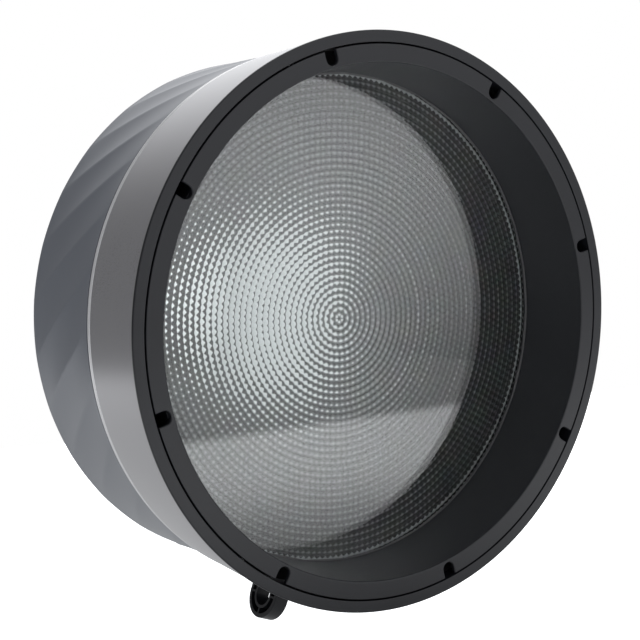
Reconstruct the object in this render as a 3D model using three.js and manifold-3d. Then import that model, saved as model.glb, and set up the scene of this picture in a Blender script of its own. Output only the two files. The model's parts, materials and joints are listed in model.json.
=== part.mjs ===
// Head of a round LED grow lamp: a drum housing with a black glare hood at the front, a
// prismatic lens behind clear glass, and a fan-cooled light engine inside.
//
// Units are millimetres. The lamp's axis is Y and the light leaves towards -Y. The origin is
// the centre of the flat pad on the back, and +Z is up. "Depth" is the distance behind the
// rim's front plane. Angles go from +X towards +Z, as seen from the front.

import * as THREE from "three";
import { mergeVertices } from "three/addons/utils/BufferGeometryUtils.js";
import Module from "manifold-3d";

const wasm = await Module();
wasm.setup();

// ---------------------------------------------------------------- driving dimensions

const RIM_RADIUS = 150;
const LAMP_DEPTH = 148;
const GAP = 0.3;
const RING_SEGMENTS = 64;
const SMALL_RING_SEGMENTS = 48;
const SCREW_SEGMENTS = 8;

// Front: rim, hood and lens stack
const RIM_INNER_RADIUS = 143.9;
const RIM_EDGE_THICKNESS = 1.5;
const HOOD_FLANGE_RADIUS = 143;
const HOOD_FLANGE_THICKNESS = 2.4;
const HOOD_MOUTH_RADIUS = 133.7;
const HOOD_THROAT_RADIUS = 131.6;
const HOOD_DEPTH = 43.2;
const HOOD_WALL = 2.2;
const HOOD_FOOT_RADIUS = 142.8;
const HOOD_FOOT_THICKNESS = 2.9;
const NOTCH_COUNT = 8;
const NOTCH_FIRST_ANGLE = 16;
const NOTCH_WIDTH = 7;
const NOTCH_INNER_RADIUS = 135.3;
const GLASS_RADIUS = 134.2;
const GLASS_FRONT = 44;
const GLASS_THICKNESS = 3.2;
const LENS_THICKNESS = 2.1;
const LENS_SEAT_RADIUS = 129.8;
const GLASS_GASKET_INNER_RADIUS = 131.2;
const LENS_GASKET_INNER_RADIUS = 130.2;

// Body: band, seam bead and fluted rear shell
const BAND_FRONT_RADIUS = 149.3;
const BAND_REAR_RADIUS = 145.7;
const BAND_FRONT = 1.9;
const BAND_REAR = 54.2;
const BAND_WALL = 2.3;
const SPIGOT_RADIUS = 140.9;
const SPIGOT_WALL = 2.2;
const SPIGOT_REAR = 66;
const SHELL_FRONT_RADIUS = 144.9;
const SHELL_REAR_RADIUS = 143.4;
const SHELL_FRONT = 59.3;
const SHELL_REAR = 128.5;
const SHELL_INNER_RADIUS = 141.2;
const SHELL_OPENING_RADIUS = 128.5;
const FLUTE_COUNT = 30;
const FLUTE_DEPTH = 0.8;
const FLUTE_TWIST = 20;
const FLUTE_SAMPLES = 4;

// Rear cover, its vents and its controls
const COVER_LEDGE_RADIUS = 138.4;
const COVER_LEDGE_REAR = 131.4;
const COVER_PLATE_REAR = 140;
const COVER_WALL = 2.5;
const COVER_RIM_RADIUS = 125;
const PAD_RADIUS = 62;
const INTAKE = { count: 20, width: 4.2, inner: 26, outer: 55 };
const EXHAUST = { count: 24, width: 4, inner: 101, outer: 119 };
const CONTROL_RADIUS = 84;
const INLET_ANGLE = 258;
const DIMMER_ANGLE = 284;
const DIMMER_OFF_ANGLE = 315;
const INLET = { bore: 7.2, body: 11, flange: 14, collar: 10, socket: 8, front: 133, rear: 147.5 };
const DIMMER = { shaft: 3, bush: 4.4, body: 8.2, knob: 10.5, front: 127, bushRear: 141, knobRear: 147.7 };
const DIMMER_GRIPS = 12;

// Chassis, heatsink and fan
const PILLAR_RADIUS = 134.8;
const PILLAR_ANGLES = [45, 135, 225, 315];
const PILLAR_SIZE = 3.1;
const STUD_RADIUS = 1.5;
const STUD_HOLE_RADIUS = 1.9;
const CHASSIS_FRONT = 92.7;
const CHASSIS_THICKNESS = 2;
const CHASSIS_RADIUS = 138.1;
const HEATSINK_SIDE = 120;
const HEATSINK_FRONT = 97;
const HEATSINK_BASE = 4;
const HEATSINK_REAR = 116.5;
const FIN_COUNT = 16;
const FIN_PITCH = 7.5;
const FIN_THICKNESS = 2;
const FAN_FRONT = 117.5;
const FAN_REAR = 134.4;
const FAN_HOLE_SPACING = 105;
const FAN_DUCT_RADIUS = 57.5;
const FAN_BLADES = 7;
const FAN_HUB_RADIUS = 19.5;
const BLADE = { length: 38, inner: 17, thickness: 1.8, chord: 23, pitch: 32 };

// Tilt knuckle under the band
const KNUCKLE_ANGLE = 251;
const KNUCKLE_DEPTH = 42;
const KNUCKLE_CENTRE_RADIUS = 152.3;
const KNUCKLE_RADIUS = 12.5;
const KNUCKLE_BORE_RADIUS = 5.9;
const KNUCKLE_WIDTH = 8;
const KNUCKLE_CORE = { inner: 7.4, outer: 10.3, web: 1.8, rib: 1 };
const KNUCKLE_FOOT = { left: -4, right: 19, length: 20, top: 149.4, screwOffset: 13, screwSpacing: 12 };

// ---------------------------------------------------------------- materials

const paint = (color, roughness, metalness) =>
  new THREE.MeshStandardMaterial({ color, roughness, metalness });

const MATERIALS = {
  blackPlastic: paint(0x313236, 0.62, 0),
  gunmetal: paint(0x7b7b80, 0.38, 0.6),
  shellMetal: paint(0x6c7077, 0.42, 0.55),
  trim: paint(0x9a9ca0, 0.3, 0.8),
  glass: paint(0xf2f6f6, 0.03, 0),
  prism: paint(0xd7dbdd, 0.15, 0),
  rubber: paint(0x1c1c1e, 0.85, 0),
  reflector: paint(0xe8e8e6, 0.2, 0.9),
  aluminium: paint(0xb9bcc0, 0.4, 0.9),
  copper: paint(0xb87348, 0.35, 0.9),
  phosphor: paint(0xf0d24a, 0.6, 0),
  whitePlastic: paint(0xe9e7e0, 0.5, 0),
  steel: paint(0xa4a6aa, 0.35, 0.9),
  fanPlastic: paint(0x202124, 0.55, 0),
  wireRed: paint(0xa32420, 0.5, 0),
  wireBlack: paint(0x151516, 0.5, 0),
};

const lamp = new THREE.Group();

// Adds one finished piece. A solid from a boolean and a plain geometry are both accepted.
function addPiece(name, material, shape) {
  const geometry = shape.isBufferGeometry ? shape : toGeometry(shape);
  const mesh = new THREE.Mesh(geometry, MATERIALS[material]);
  mesh.name = name;
  lamp.add(mesh);
  return mesh;
}

// ---------------------------------------------------------------- shape helpers

const radians = THREE.MathUtils.degToRad;
const yAt = (depth) => depth - LAMP_DEPTH;

function onCircle(radius, degrees) {
  return { x: radius * Math.cos(radians(degrees)), z: radius * Math.sin(radians(degrees)) };
}

function evenAngles(count, first = 0) {
  return Array.from({ length: count }, (_, index) => first + (index * 360) / count);
}

// A closed geometry as a solid for cutting and joining.
function toSolid(geometry) {
  const bare = geometry.clone();
  bare.deleteAttribute("normal");
  bare.deleteAttribute("uv");
  const merged = mergeVertices(bare);
  const vertProperties = merged.attributes.position.array;
  const triVerts = new Uint32Array(merged.index.array);
  return new wasm.Manifold(new wasm.Mesh({ numProp: 3, vertProperties, triVerts }));
}

function toGeometry(solid) {
  const { vertProperties, triVerts } = solid.getMesh();
  const geometry = new THREE.BufferGeometry();
  geometry.setAttribute("position", new THREE.BufferAttribute(vertProperties, 3));
  geometry.setIndex(new THREE.BufferAttribute(triVerts, 1));
  geometry.computeVertexNormals();
  return geometry;
}

const join = (...geometries) => geometries.map(toSolid).reduce((all, next) => all.add(next));

function cut(solid, geometries) {
  return geometries.map(toSolid).reduce((rest, tool) => rest.subtract(tool), solid);
}

// Turns a profile of [radius, depth] points about the lamp's axis. The profile closes on
// itself, or runs from the axis to the axis.
function revolve(profile, segments = RING_SEGMENTS) {
  const closesOnAxis = profile[0][0] === 0;
  const outline = closesOnAxis ? profile : [...profile, profile[0]];
  const points = outline.map(([radius, depth]) => new THREE.Vector2(radius, yAt(depth)));
  if (THREE.ShapeUtils.area(points) < 0) points.reverse();
  return new THREE.LatheGeometry(points, segments);
}

function ring(inner, outer, front, rear, segments = RING_SEGMENTS) {
  return revolve([[inner, front], [outer, front], [outer, rear], [inner, rear]], segments);
}

// A cylinder along the lamp's axis, centred on (x, z).
function rod(radius, front, rear, { x = 0, z = 0 } = {}, segments = 16) {
  const geometry = new THREE.CylinderGeometry(radius, radius, rear - front, segments);
  return geometry.translate(x, yAt((front + rear) / 2), z);
}

function block(width, height, front, rear, { x = 0, z = 0 } = {}) {
  return new THREE.BoxGeometry(width, rear - front, height).translate(x, yAt((front + rear) / 2), z);
}

// Extrudes a shape drawn as seen from the front between two depths.
function plateOf(shape, front, rear, curveSegments = 6) {
  const options = { depth: rear - front, bevelEnabled: false, curveSegments };
  const geometry = new THREE.ExtrudeGeometry(shape, options);
  return geometry.rotateX(Math.PI / 2).translate(0, yAt(rear), 0);
}

const turned = (geometry, degrees) => geometry.rotateY(-radians(degrees));

function radialBlock(width, inner, outer, front, rear, degrees) {
  const place = { x: (inner + outer) / 2 };
  return turned(block(outer - inner, width, front, rear, place), degrees);
}

function screw(headRadius, headFront, headRear, shankRadius, shankEnd, place) {
  const shankStart = shankEnd > headRear ? headRear - GAP : headFront + GAP;
  const [front, rear] = [Math.min(shankStart, shankEnd), Math.max(shankStart, shankEnd)];
  return join(
    rod(headRadius, headFront, headRear, place, SCREW_SEGMENTS),
    rod(shankRadius, front, rear, place, SCREW_SEGMENTS),
  );
}

function wire(radius, stops) {
  const points = stops.map(([x, depth, z]) => new THREE.Vector3(x, yAt(depth), z));
  const path = new THREE.CatmullRomCurve3(points);
  const section = new THREE.Shape().absarc(0, 0, radius, 0, 2 * Math.PI);
  const steps = 3 * (stops.length - 1);
  return new THREE.ExtrudeGeometry(section, { steps, curveSegments: 3, extrudePath: path });
}

// ---------------------------------------------------------------- front rim and glare hood

const notchAngles = evenAngles(NOTCH_COUNT, NOTCH_FIRST_ANGLE);
const notchCentreRadius = NOTCH_INNER_RADIUS + NOTCH_WIDTH / 2;

function outerRim() {
  const collarRadius = RIM_INNER_RADIUS + 2.1;
  const edge = 0.6;
  return revolve([
    [RIM_INNER_RADIUS, 0],
    [RIM_RADIUS - edge, 0],
    [RIM_RADIUS, edge],
    [RIM_RADIUS, RIM_EDGE_THICKNESS],
    [collarRadius, RIM_EDGE_THICKNESS],
    [collarRadius, 9],
    [RIM_INNER_RADIUS, 9],
  ]);
}

function notchCutter(degrees) {
  const half = NOTCH_WIDTH / 2;
  const mouth = RIM_INNER_RADIUS + 1;
  const shape = new THREE.Shape();
  shape.moveTo(mouth, -half);
  shape.lineTo(mouth, half);
  shape.absarc(notchCentreRadius, 0, half, Math.PI / 2, (3 * Math.PI) / 2);
  return turned(plateOf(shape, -1, 4), degrees);
}

function glareHood() {
  const footFront = HOOD_DEPTH - HOOD_FOOT_THICKNESS;
  const body = toSolid(
    revolve([
      [HOOD_MOUTH_RADIUS + 0.5, 0],
      [HOOD_FLANGE_RADIUS, 0],
      [HOOD_FLANGE_RADIUS, HOOD_FLANGE_THICKNESS],
      [HOOD_MOUTH_RADIUS + HOOD_WALL, HOOD_FLANGE_THICKNESS],
      [HOOD_THROAT_RADIUS + HOOD_WALL, footFront],
      [HOOD_FOOT_RADIUS, footFront],
      [HOOD_FOOT_RADIUS, HOOD_DEPTH],
      [HOOD_THROAT_RADIUS, HOOD_DEPTH],
      [HOOD_MOUTH_RADIUS, 0.5],
    ]),
  );
  const screwHoles = notchAngles.map((angle) =>
    rod(1.8, footFront - 1, HOOD_DEPTH + 1, onCircle(notchCentreRadius, angle), SCREW_SEGMENTS),
  );
  return cut(body, [...notchAngles.map(notchCutter), ...screwHoles]);
}

function hoodScrew(degrees) {
  const headRear = HOOD_DEPTH - HOOD_FOOT_THICKNESS - GAP;
  return screw(2.9, headRear - 2.6, headRear, 1.45, 49.5, onCircle(notchCentreRadius, degrees));
}

// ---------------------------------------------------------------- front housing and seam

const seatFront = GLASS_FRONT + GLASS_THICKNESS + LENS_THICKNESS + 1.3;
const seatRear = seatFront + 3;

function bandRadiusAt(depth) {
  const along = (depth - BAND_FRONT) / (BAND_REAR - BAND_FRONT);
  return THREE.MathUtils.lerp(BAND_FRONT_RADIUS, BAND_REAR_RADIUS, along);
}

function frontHousing() {
  const shell = toSolid(
    revolve([
      [BAND_FRONT_RADIUS, BAND_FRONT],
      [BAND_REAR_RADIUS, BAND_REAR],
      [SPIGOT_RADIUS, BAND_REAR],
      [SPIGOT_RADIUS, SPIGOT_REAR],
      [SPIGOT_RADIUS - SPIGOT_WALL, SPIGOT_REAR],
      [SPIGOT_RADIUS - SPIGOT_WALL, seatRear],
      [LENS_SEAT_RADIUS, seatRear],
      [LENS_SEAT_RADIUS, seatFront],
      [bandRadiusAt(seatFront) - BAND_WALL, seatFront],
      [BAND_FRONT_RADIUS - BAND_WALL, BAND_FRONT],
    ]),
  );
  const bossFront = HOOD_DEPTH + GAP;
  const bosses = notchAngles.map((angle) => {
    const place = onCircle(notchCentreRadius, angle);
    return cut(toSolid(rod(4.2, bossFront, seatFront + 0.5, place, SCREW_SEGMENTS)), [
      rod(1.8, bossFront - 1, seatFront - 0.2, place, SCREW_SEGMENTS),
    ]);
  });
  const studHoles = PILLAR_ANGLES.map((angle) =>
    rod(STUD_HOLE_RADIUS, seatRear - 2.2, seatRear + 1, onCircle(PILLAR_RADIUS, angle), 8),
  );
  const withBosses = bosses.reduce((all, boss) => all.add(boss), shell);
  return cut(withBosses, [...studHoles, ...knuckleScrewHoles()]);
}

// A flat gasket that nearly fills the space between two faces.
function gasket(inner, frontFace, rearFace) {
  const slack = 0.12;
  return ring(inner, GLASS_RADIUS, frontFace + slack, rearFace - slack, 32);
}

function seamBead() {
  const [front, rear] = [BAND_REAR + 0.5, SHELL_FRONT - 0.6];
  const inner = SPIGOT_RADIUS + GAP;
  const round = (rear - front) / 2;
  const crown = [0, 45, 90, 135, 180].map((degrees) => [
    BAND_REAR_RADIUS - round + round * Math.sin(radians(degrees)),
    front + round - round * Math.cos(radians(degrees)),
  ]);
  return revolve([[inner, front], ...crown, [inner, rear]]);
}

// ---------------------------------------------------------------- fluted rear shell

// Depth of the hollow between two ridges. It fades out towards both ends of the drum.
function hollowDepth(across, along) {
  return FLUTE_DEPTH * 4 * across * (1 - across) * Math.sin(Math.PI * along) ** 0.7;
}

// Every column of points winds round the drum on its way to the back, so that the ridges follow
// the edges of the mesh.
function flutedDrum() {
  const slope = (SHELL_FRONT_RADIUS - SHELL_REAR_RADIUS) / (SHELL_REAR - SHELL_FRONT);
  const wallStations = [SHELL_FRONT, 73, 87, 101, 115, 124];
  const wall = wallStations.map((d) => [SHELL_FRONT_RADIUS - slope * (d - SHELL_FRONT), d]);
  const profile = [
    [0, SHELL_FRONT],
    ...wall,
    [SHELL_REAR_RADIUS - 1, SHELL_REAR - 1],
    [SHELL_REAR_RADIUS - 3.5, SHELL_REAR],
    [0, SHELL_REAR],
  ];
  const geometry = revolve(profile, FLUTE_COUNT * FLUTE_SAMPLES);
  const position = geometry.attributes.position;
  for (let index = 0; index < position.count; index += 1) {
    const [x, y, z] = [position.getX(index), position.getY(index), position.getZ(index)];
    const column = Math.floor(index / profile.length);
    const across = (column % FLUTE_SAMPLES) / FLUTE_SAMPLES;
    const along = (y + LAMP_DEPTH - SHELL_FRONT) / (SHELL_REAR - SHELL_FRONT);
    const radius = Math.hypot(x, z);
    const hollow = radius > SHELL_REAR_RADIUS - 0.1 ? hollowDepth(across, along) : 0;
    const angle = Math.atan2(z, x) + radians(FLUTE_TWIST) * along;
    const newRadius = radius - hollow;
    position.setXYZ(index, newRadius * Math.cos(angle), y, newRadius * Math.sin(angle));
  }
  return geometry;
}

function rearShell() {
  const inside = revolve(
    [
      [0, SHELL_FRONT - 1],
      [SHELL_INNER_RADIUS, SHELL_FRONT - 1],
      [SHELL_INNER_RADIUS, SHELL_FRONT],
      [SHELL_INNER_RADIUS - 0.6, SHELL_REAR - 2.5],
      [0, SHELL_REAR - 2.5],
    ],
    FLUTE_COUNT * FLUTE_SAMPLES,
  );
  const opening = rod(SHELL_OPENING_RADIUS, SHELL_REAR - 4, SHELL_REAR + 1, {}, SMALL_RING_SEGMENTS);
  const screwHoles = PILLAR_ANGLES.map((angle) =>
    rod(2, SHELL_REAR - 4, SHELL_REAR + 1, onCircle(PILLAR_RADIUS, angle), 8),
  );
  return cut(toSolid(flutedDrum()), [inside, opening, ...screwHoles]);
}

// ---------------------------------------------------------------- rear cover and controls

const inletPlace = onCircle(CONTROL_RADIUS, INLET_ANGLE);
const dimmerPlace = onCircle(CONTROL_RADIUS, DIMMER_ANGLE);
const plateInner = COVER_PLATE_REAR - COVER_WALL;

function ventSlots({ count, width, inner, outer }, front, rear) {
  return evenAngles(count).map((angle) => radialBlock(width, inner, outer, front - 1, rear + 1, angle));
}

function rearCover() {
  const ledgeFront = SHELL_REAR + GAP;
  const body = toSolid(
    revolve([
      [0, LAMP_DEPTH - COVER_WALL],
      [PAD_RADIUS - 2, LAMP_DEPTH - COVER_WALL],
      [PAD_RADIUS + 2, plateInner],
      [COVER_RIM_RADIUS - 2, plateInner],
      [COVER_RIM_RADIUS + 2, ledgeFront],
      [COVER_LEDGE_RADIUS, ledgeFront],
      [COVER_LEDGE_RADIUS, COVER_LEDGE_REAR],
      [COVER_RIM_RADIUS + 4.5, COVER_LEDGE_REAR],
      [COVER_RIM_RADIUS, COVER_PLATE_REAR],
      [PAD_RADIUS + 4, COVER_PLATE_REAR],
      [PAD_RADIUS, LAMP_DEPTH],
      [0, LAMP_DEPTH],
    ]),
  );
  const intake = ventSlots(INTAKE, LAMP_DEPTH - COVER_WALL, LAMP_DEPTH);
  const exhaust = ventSlots(EXHAUST, plateInner, COVER_PLATE_REAR);
  const screwHoles = PILLAR_ANGLES.map((angle) =>
    rod(2, ledgeFront - 1, COVER_LEDGE_REAR + 1, onCircle(PILLAR_RADIUS, angle), 8),
  );
  const controls = [
    rod(INLET.body + 0.4, plateInner - 1, COVER_PLATE_REAR + 1, inletPlace),
    rod(DIMMER.bush + 0.4, plateInner - 1, COVER_PLATE_REAR + 1, dimmerPlace, 12),
  ];
  return cut(body, [...intake, ...exhaust, ...screwHoles, ...controls]);
}

function coverScrew(degrees) {
  const headFront = COVER_LEDGE_REAR + GAP;
  return screw(3.6, headFront, headFront + 2.4, 1.6, 119, onCircle(PILLAR_RADIUS, degrees));
}

const insertRear = 137.5;

function powerInlet() {
  const flangeRear = COVER_PLATE_REAR + 2.3;
  const shell = join(
    rod(INLET.body, INLET.front, COVER_PLATE_REAR + 1, inletPlace),
    rod(INLET.flange, COVER_PLATE_REAR + GAP, flangeRear, inletPlace),
    rod(INLET.collar, flangeRear - GAP, INLET.rear, inletPlace),
  );
  return cut(shell, [
    rod(INLET.socket, insertRear + GAP, INLET.rear + 1, inletPlace),
    rod(INLET.bore, INLET.front - 1, insertRear + 0.5, inletPlace),
  ]);
}

// The insulator, with its three contacts moulded in.
function inletInsert() {
  const contacts = evenAngles(3, 90).map((degrees) => {
    const offset = onCircle(3.6, degrees);
    const place = { x: inletPlace.x + offset.x, z: inletPlace.z + offset.z };
    return rod(1, INLET.front + 1.5, INLET.rear - 2, place, 8);
  });
  return join(rod(INLET.bore - GAP, INLET.front + 2, insertRear, inletPlace), ...contacts);
}

const shaftHole = DIMMER.shaft + 0.35;

function dimmerBody() {
  const body = join(
    rod(DIMMER.body, DIMMER.front, plateInner - GAP, dimmerPlace, 16),
    rod(DIMMER.bush, plateInner - 1, DIMMER.bushRear, dimmerPlace, 12),
  );
  return cut(body, [rod(shaftHole, DIMMER.front + 3, DIMMER.bushRear + 1, dimmerPlace, 12)]);
}

function dimmerShaft() {
  return rod(DIMMER.shaft, DIMMER.front + 3.5, DIMMER.knobRear - 1.7, dimmerPlace, 12);
}

// The knob is drawn on the lamp's axis and then moved to its place. Its grip is fluted, and a
// raised rib points to the setting.
function dimmerKnob() {
  const [front, rear] = [DIMMER.bushRear + GAP, DIMMER.knobRear];
  const body = join(
    rod(DIMMER.knob, front, rear - 0.6, {}, 24),
    rod(DIMMER.knob - 0.7, rear - 1, rear, {}, 24),
    radialBlock(1.6, 1, 9, rear - 0.5, rear + 0.2, DIMMER_OFF_ANGLE),
  );
  const grips = evenAngles(DIMMER_GRIPS).map((angle) =>
    rod(1.5, front - 1, rear + 1, onCircle(DIMMER.knob + 0.7, angle), 8),
  );
  const knob = cut(body, [...grips, rod(shaftHole, front - 1, rear - 1.5, {}, 12)]);
  return toGeometry(knob).translate(dimmerPlace.x, 0, dimmerPlace.z);
}

// ---------------------------------------------------------------- light engine

function reflector() {
  const [neckRadius, mouthRadius] = [20, 128];
  const [mouthDepth, focusDepth] = [seatRear + 0.5, 87];
  const bowl = (radius) => focusDepth - (focusDepth - mouthDepth) * (radius / mouthRadius) ** 2;
  const stations = [mouthRadius, 104, 76, 48, neckRadius];
  const wall = 1.3;
  return revolve(
    [
      ...stations.map((radius) => [radius, bowl(radius)]),
      [neckRadius, focusDepth + 0.6],
      [neckRadius + wall, focusDepth + 0.6],
      ...stations.slice(1, -1).reverse().map((radius) => [radius, bowl(radius) + wall * 1.15]),
      [mouthRadius, mouthDepth + wall],
      [131.2, mouthDepth + wall],
      [131.2, mouthDepth],
    ],
    32,
  );
}

function ledHolder() {
  const ringBody = toSolid(ring(16, 25, 88, 90.6, 24));
  const legs = [45, 225].map((angle) => radialBlock(7, 23, 29, 88, 90.6, angle));
  return legs.map(toSolid).reduce((all, leg) => all.add(leg), ringBody);
}

function standoff(degrees) {
  const place = onCircle(PILLAR_RADIUS, degrees);
  return join(
    rod(PILLAR_SIZE, seatRear + GAP, CHASSIS_FRONT - GAP, place, 6),
    rod(STUD_RADIUS, seatRear - 1.9, 98, place, 8),
  );
}

function pillar(degrees) {
  const place = onCircle(PILLAR_RADIUS, degrees);
  const [front, rear] = [CHASSIS_FRONT + CHASSIS_THICKNESS + GAP, SHELL_REAR - 2.5 - GAP];
  return cut(toSolid(rod(PILLAR_SIZE, front, rear, place, 6)), [
    rod(STUD_HOLE_RADIUS, front - 1, 98.5, place, 8),
    rod(STUD_HOLE_RADIUS, 118, rear + 1, place, 8),
  ]);
}

function chassisPlate() {
  const rear = CHASSIS_FRONT + CHASSIS_THICKNESS;
  const disc = toSolid(ring(30, CHASSIS_RADIUS, CHASSIS_FRONT, rear, SMALL_RING_SEGMENTS));
  const studHoles = PILLAR_ANGLES.map((angle) =>
    rod(STUD_HOLE_RADIUS, CHASSIS_FRONT - 1, rear + 1, onCircle(PILLAR_RADIUS, angle), 8),
  );
  const airHoles = [70, 110, 250, 290, 160, 200].map((angle) =>
    rod(12, CHASSIS_FRONT - 1, rear + 1, onCircle(108, angle), 12),
  );
  const leadHole = rod(7, CHASSIS_FRONT - 1, rear + 1, { x: 90, z: 70 }, 12);
  return cut(disc, [...studHoles, ...airHoles, leadHole]);
}

// A comb section, extruded along Z.
function heatsink() {
  const half = HEATSINK_SIDE / 2;
  const baseRear = HEATSINK_FRONT + HEATSINK_BASE;
  const shape = new THREE.Shape();
  shape.moveTo(-half, yAt(HEATSINK_FRONT));
  shape.lineTo(half, yAt(HEATSINK_FRONT));
  shape.lineTo(half, yAt(baseRear));
  for (let index = FIN_COUNT - 1; index >= 0; index -= 1) {
    const x = (index - (FIN_COUNT - 1) / 2) * FIN_PITCH;
    shape.lineTo(x + FIN_THICKNESS / 2, yAt(baseRear));
    shape.lineTo(x + FIN_THICKNESS / 2, yAt(HEATSINK_REAR));
    shape.lineTo(x - FIN_THICKNESS / 2, yAt(HEATSINK_REAR));
    shape.lineTo(x - FIN_THICKNESS / 2, yAt(baseRear));
  }
  shape.lineTo(-half, yAt(baseRear));
  const options = { depth: HEATSINK_SIDE, bevelEnabled: false };
  return new THREE.ExtrudeGeometry(shape, options).translate(0, 0, -half);
}

// ---------------------------------------------------------------- fan

const fanCorners = [[1, 1], [-1, 1], [-1, -1], [1, -1]].map(([x, z]) => ({
  x: (x * FAN_HOLE_SPACING) / 2,
  z: (z * FAN_HOLE_SPACING) / 2,
}));

function fanFrame() {
  const half = HEATSINK_SIDE / 2;
  const corner = 6;
  const outline = new THREE.Shape();
  outline.moveTo(half, half - corner);
  outline.absarc(half - corner, half - corner, corner, 0, Math.PI / 2);
  outline.absarc(corner - half, half - corner, corner, Math.PI / 2, Math.PI);
  outline.absarc(corner - half, corner - half, corner, Math.PI, 1.5 * Math.PI);
  outline.absarc(half - corner, corner - half, corner, 1.5 * Math.PI, 2 * Math.PI);
  outline.holes.push(new THREE.Path().absarc(0, 0, FAN_DUCT_RADIUS, 0, 2 * Math.PI, true));
  const supportRear = FAN_FRONT + 2;
  const duct = toSolid(plateOf(outline, FAN_FRONT, FAN_REAR, 10));
  const struts = evenAngles(4, 10).map((angle) =>
    toSolid(radialBlock(4, 15, FAN_DUCT_RADIUS + 0.5, FAN_FRONT, supportRear, angle)),
  );
  const motorSeat = toSolid(rod(20, FAN_FRONT, supportRear, {}, 20));
  const joined = [...struts, motorSeat].reduce((all, next) => all.add(next), duct);
  const screwHoles = fanCorners.map((place) => rod(2.3, FAN_FRONT - 1, FAN_REAR + 1, place, 8));
  return cut(joined, [...screwHoles, rod(2.3, FAN_FRONT - 1, supportRear + 1, {}, 12)]);
}

// Hub, shaft and blades. Each blade is a flat plate pitched across the duct.
function fanRotor() {
  const [front, rear] = [FAN_FRONT + 2.6, FAN_REAR - 0.8];
  const bladeCentre = (front + rear) / 2;
  const blades = evenAngles(FAN_BLADES).map((angle) => {
    const plate = new THREE.BoxGeometry(BLADE.length, BLADE.thickness, BLADE.chord);
    plate.rotateX(radians(BLADE.pitch));
    plate.translate(BLADE.inner + BLADE.length / 2, yAt(bladeCentre), 0);
    return toSolid(turned(plate, angle));
  });
  const hub = toSolid(rod(FAN_HUB_RADIUS, front, rear, {}, 24));
  const shaft = toSolid(rod(2, FAN_FRONT + 0.2, front + 1, {}, 12));
  return [...blades, shaft].reduce((all, next) => all.add(next), hub);
}

function fanScrew(place) {
  return screw(3.4, FAN_REAR + GAP, FAN_REAR + 2.4, 1.9, 106, place);
}

// ---------------------------------------------------------------- driver and wiring

const DRIVER = { left: 72, right: 110, half: 52, front: 95.5, rear: 128 };
const driverCentre = { x: (DRIVER.left + DRIVER.right) / 2, z: 0 };

// A tray that is open at the back, closed by a lid with a downturned lip.
function driverCase() {
  const [width, height] = [DRIVER.right - DRIVER.left, 2 * DRIVER.half];
  const tray = toSolid(block(width, height, DRIVER.front, DRIVER.rear, driverCentre));
  return cut(tray, [block(width - 4, height - 4, DRIVER.front + 2, DRIVER.rear + 1, driverCentre)]);
}

function driverLid() {
  const [width, height] = [DRIVER.right - DRIVER.left, 2 * DRIVER.half];
  return join(
    block(width, height, DRIVER.rear + GAP, DRIVER.rear + 1.8, driverCentre),
    block(width - 5, height - 5, DRIVER.rear - 1.5, DRIVER.rear + 1, driverCentre),
  );
}

// Each wire's radius and the places it passes, as [x, depth, z].
const WIRES = {
  led_lead_positive: {
    material: "wireRed",
    radius: 1.1,
    stops: [[84, 100, 53.6], [88, 98, 66], [88, 92, 71], [74, 89.5, 60], [36, 90.4, 38], [24, 91.2, 24]],
  },
  led_lead_negative: {
    material: "wireBlack",
    radius: 1.1,
    stops: [[94, 100, 53.6], [93, 98, 65], [91.5, 91, 68], [74, 89.5, 55], [42, 90.4, 30], [29, 91.2, 18]],
  },
  fan_lead: {
    material: "wireBlack",
    radius: 1.2,
    stops: [[61.9, 129, 20], [64.5, 130, 25], [67, 128, 31], [70, 124, 36]],
  },
  mains_lead: {
    material: "wireBlack",
    radius: 2.6,
    stops: [
      [-17.5, 132.4, -82.2],
      [-14, 126, -82.5],
      [20, 118, -80],
      [60, 112, -72],
      [84, 110, -60],
      [90, 110, -55.6],
    ],
  },
  dimmer_lead: {
    material: "wireBlack",
    radius: 1.2,
    stops: [[20.3, 125.2, -76], [24, 119, -70], [50, 106, -68], [72, 103, -62], [80, 103, -54]],
  },
};

// ---------------------------------------------------------------- tilt knuckle

// Everything here is drawn with the knuckle straight down, then swung to its own angle.
const swung = (geometry) => turned(geometry, KNUCKLE_ANGLE - 270);

function crossRod(radius, left, right, segments) {
  const geometry = new THREE.CylinderGeometry(radius, radius, right - left, segments);
  geometry.rotateZ(Math.PI / 2);
  return geometry.translate((left + right) / 2, yAt(KNUCKLE_DEPTH), -KNUCKLE_CENTRE_RADIUS);
}

// A cylinder on one of the two screw axes through the knuckle's foot.
function knuckleScrewRod(radius, inner, outer, side) {
  const depth = KNUCKLE_DEPTH + (side * KNUCKLE_FOOT.screwSpacing) / 2;
  const geometry = new THREE.CylinderGeometry(radius, radius, outer - inner, SCREW_SEGMENTS);
  geometry.rotateX(Math.PI / 2);
  return geometry.translate(KNUCKLE_FOOT.screwOffset, yAt(depth), -(inner + outer) / 2);
}

function knuckleScrewHoles() {
  return [-1, 1].map((side) => swung(knuckleScrewRod(1.9, 137, 150, side)));
}

// The hollow round the bore, open on one side and crossed by four ribs.
function knuckleCore() {
  const { inner, outer, web, rib } = KNUCKLE_CORE;
  const half = KNUCKLE_WIDTH / 2;
  const ribs = [0, 90, 180, 270].map((angle) => {
    const length = outer - inner + 1;
    const plate = new THREE.BoxGeometry(KNUCKLE_WIDTH, rib, length);
    plate.translate(0, 0, inner + length / 2 - 0.5).rotateX(radians(angle));
    return plate.translate(0, yAt(KNUCKLE_DEPTH), -KNUCKLE_CENTRE_RADIUS);
  });
  const core = toSolid(crossRod(outer, -half - 1, half - web, 32));
  return cut(core, [crossRod(inner, -half - 2, half, 24), ...ribs]);
}

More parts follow.
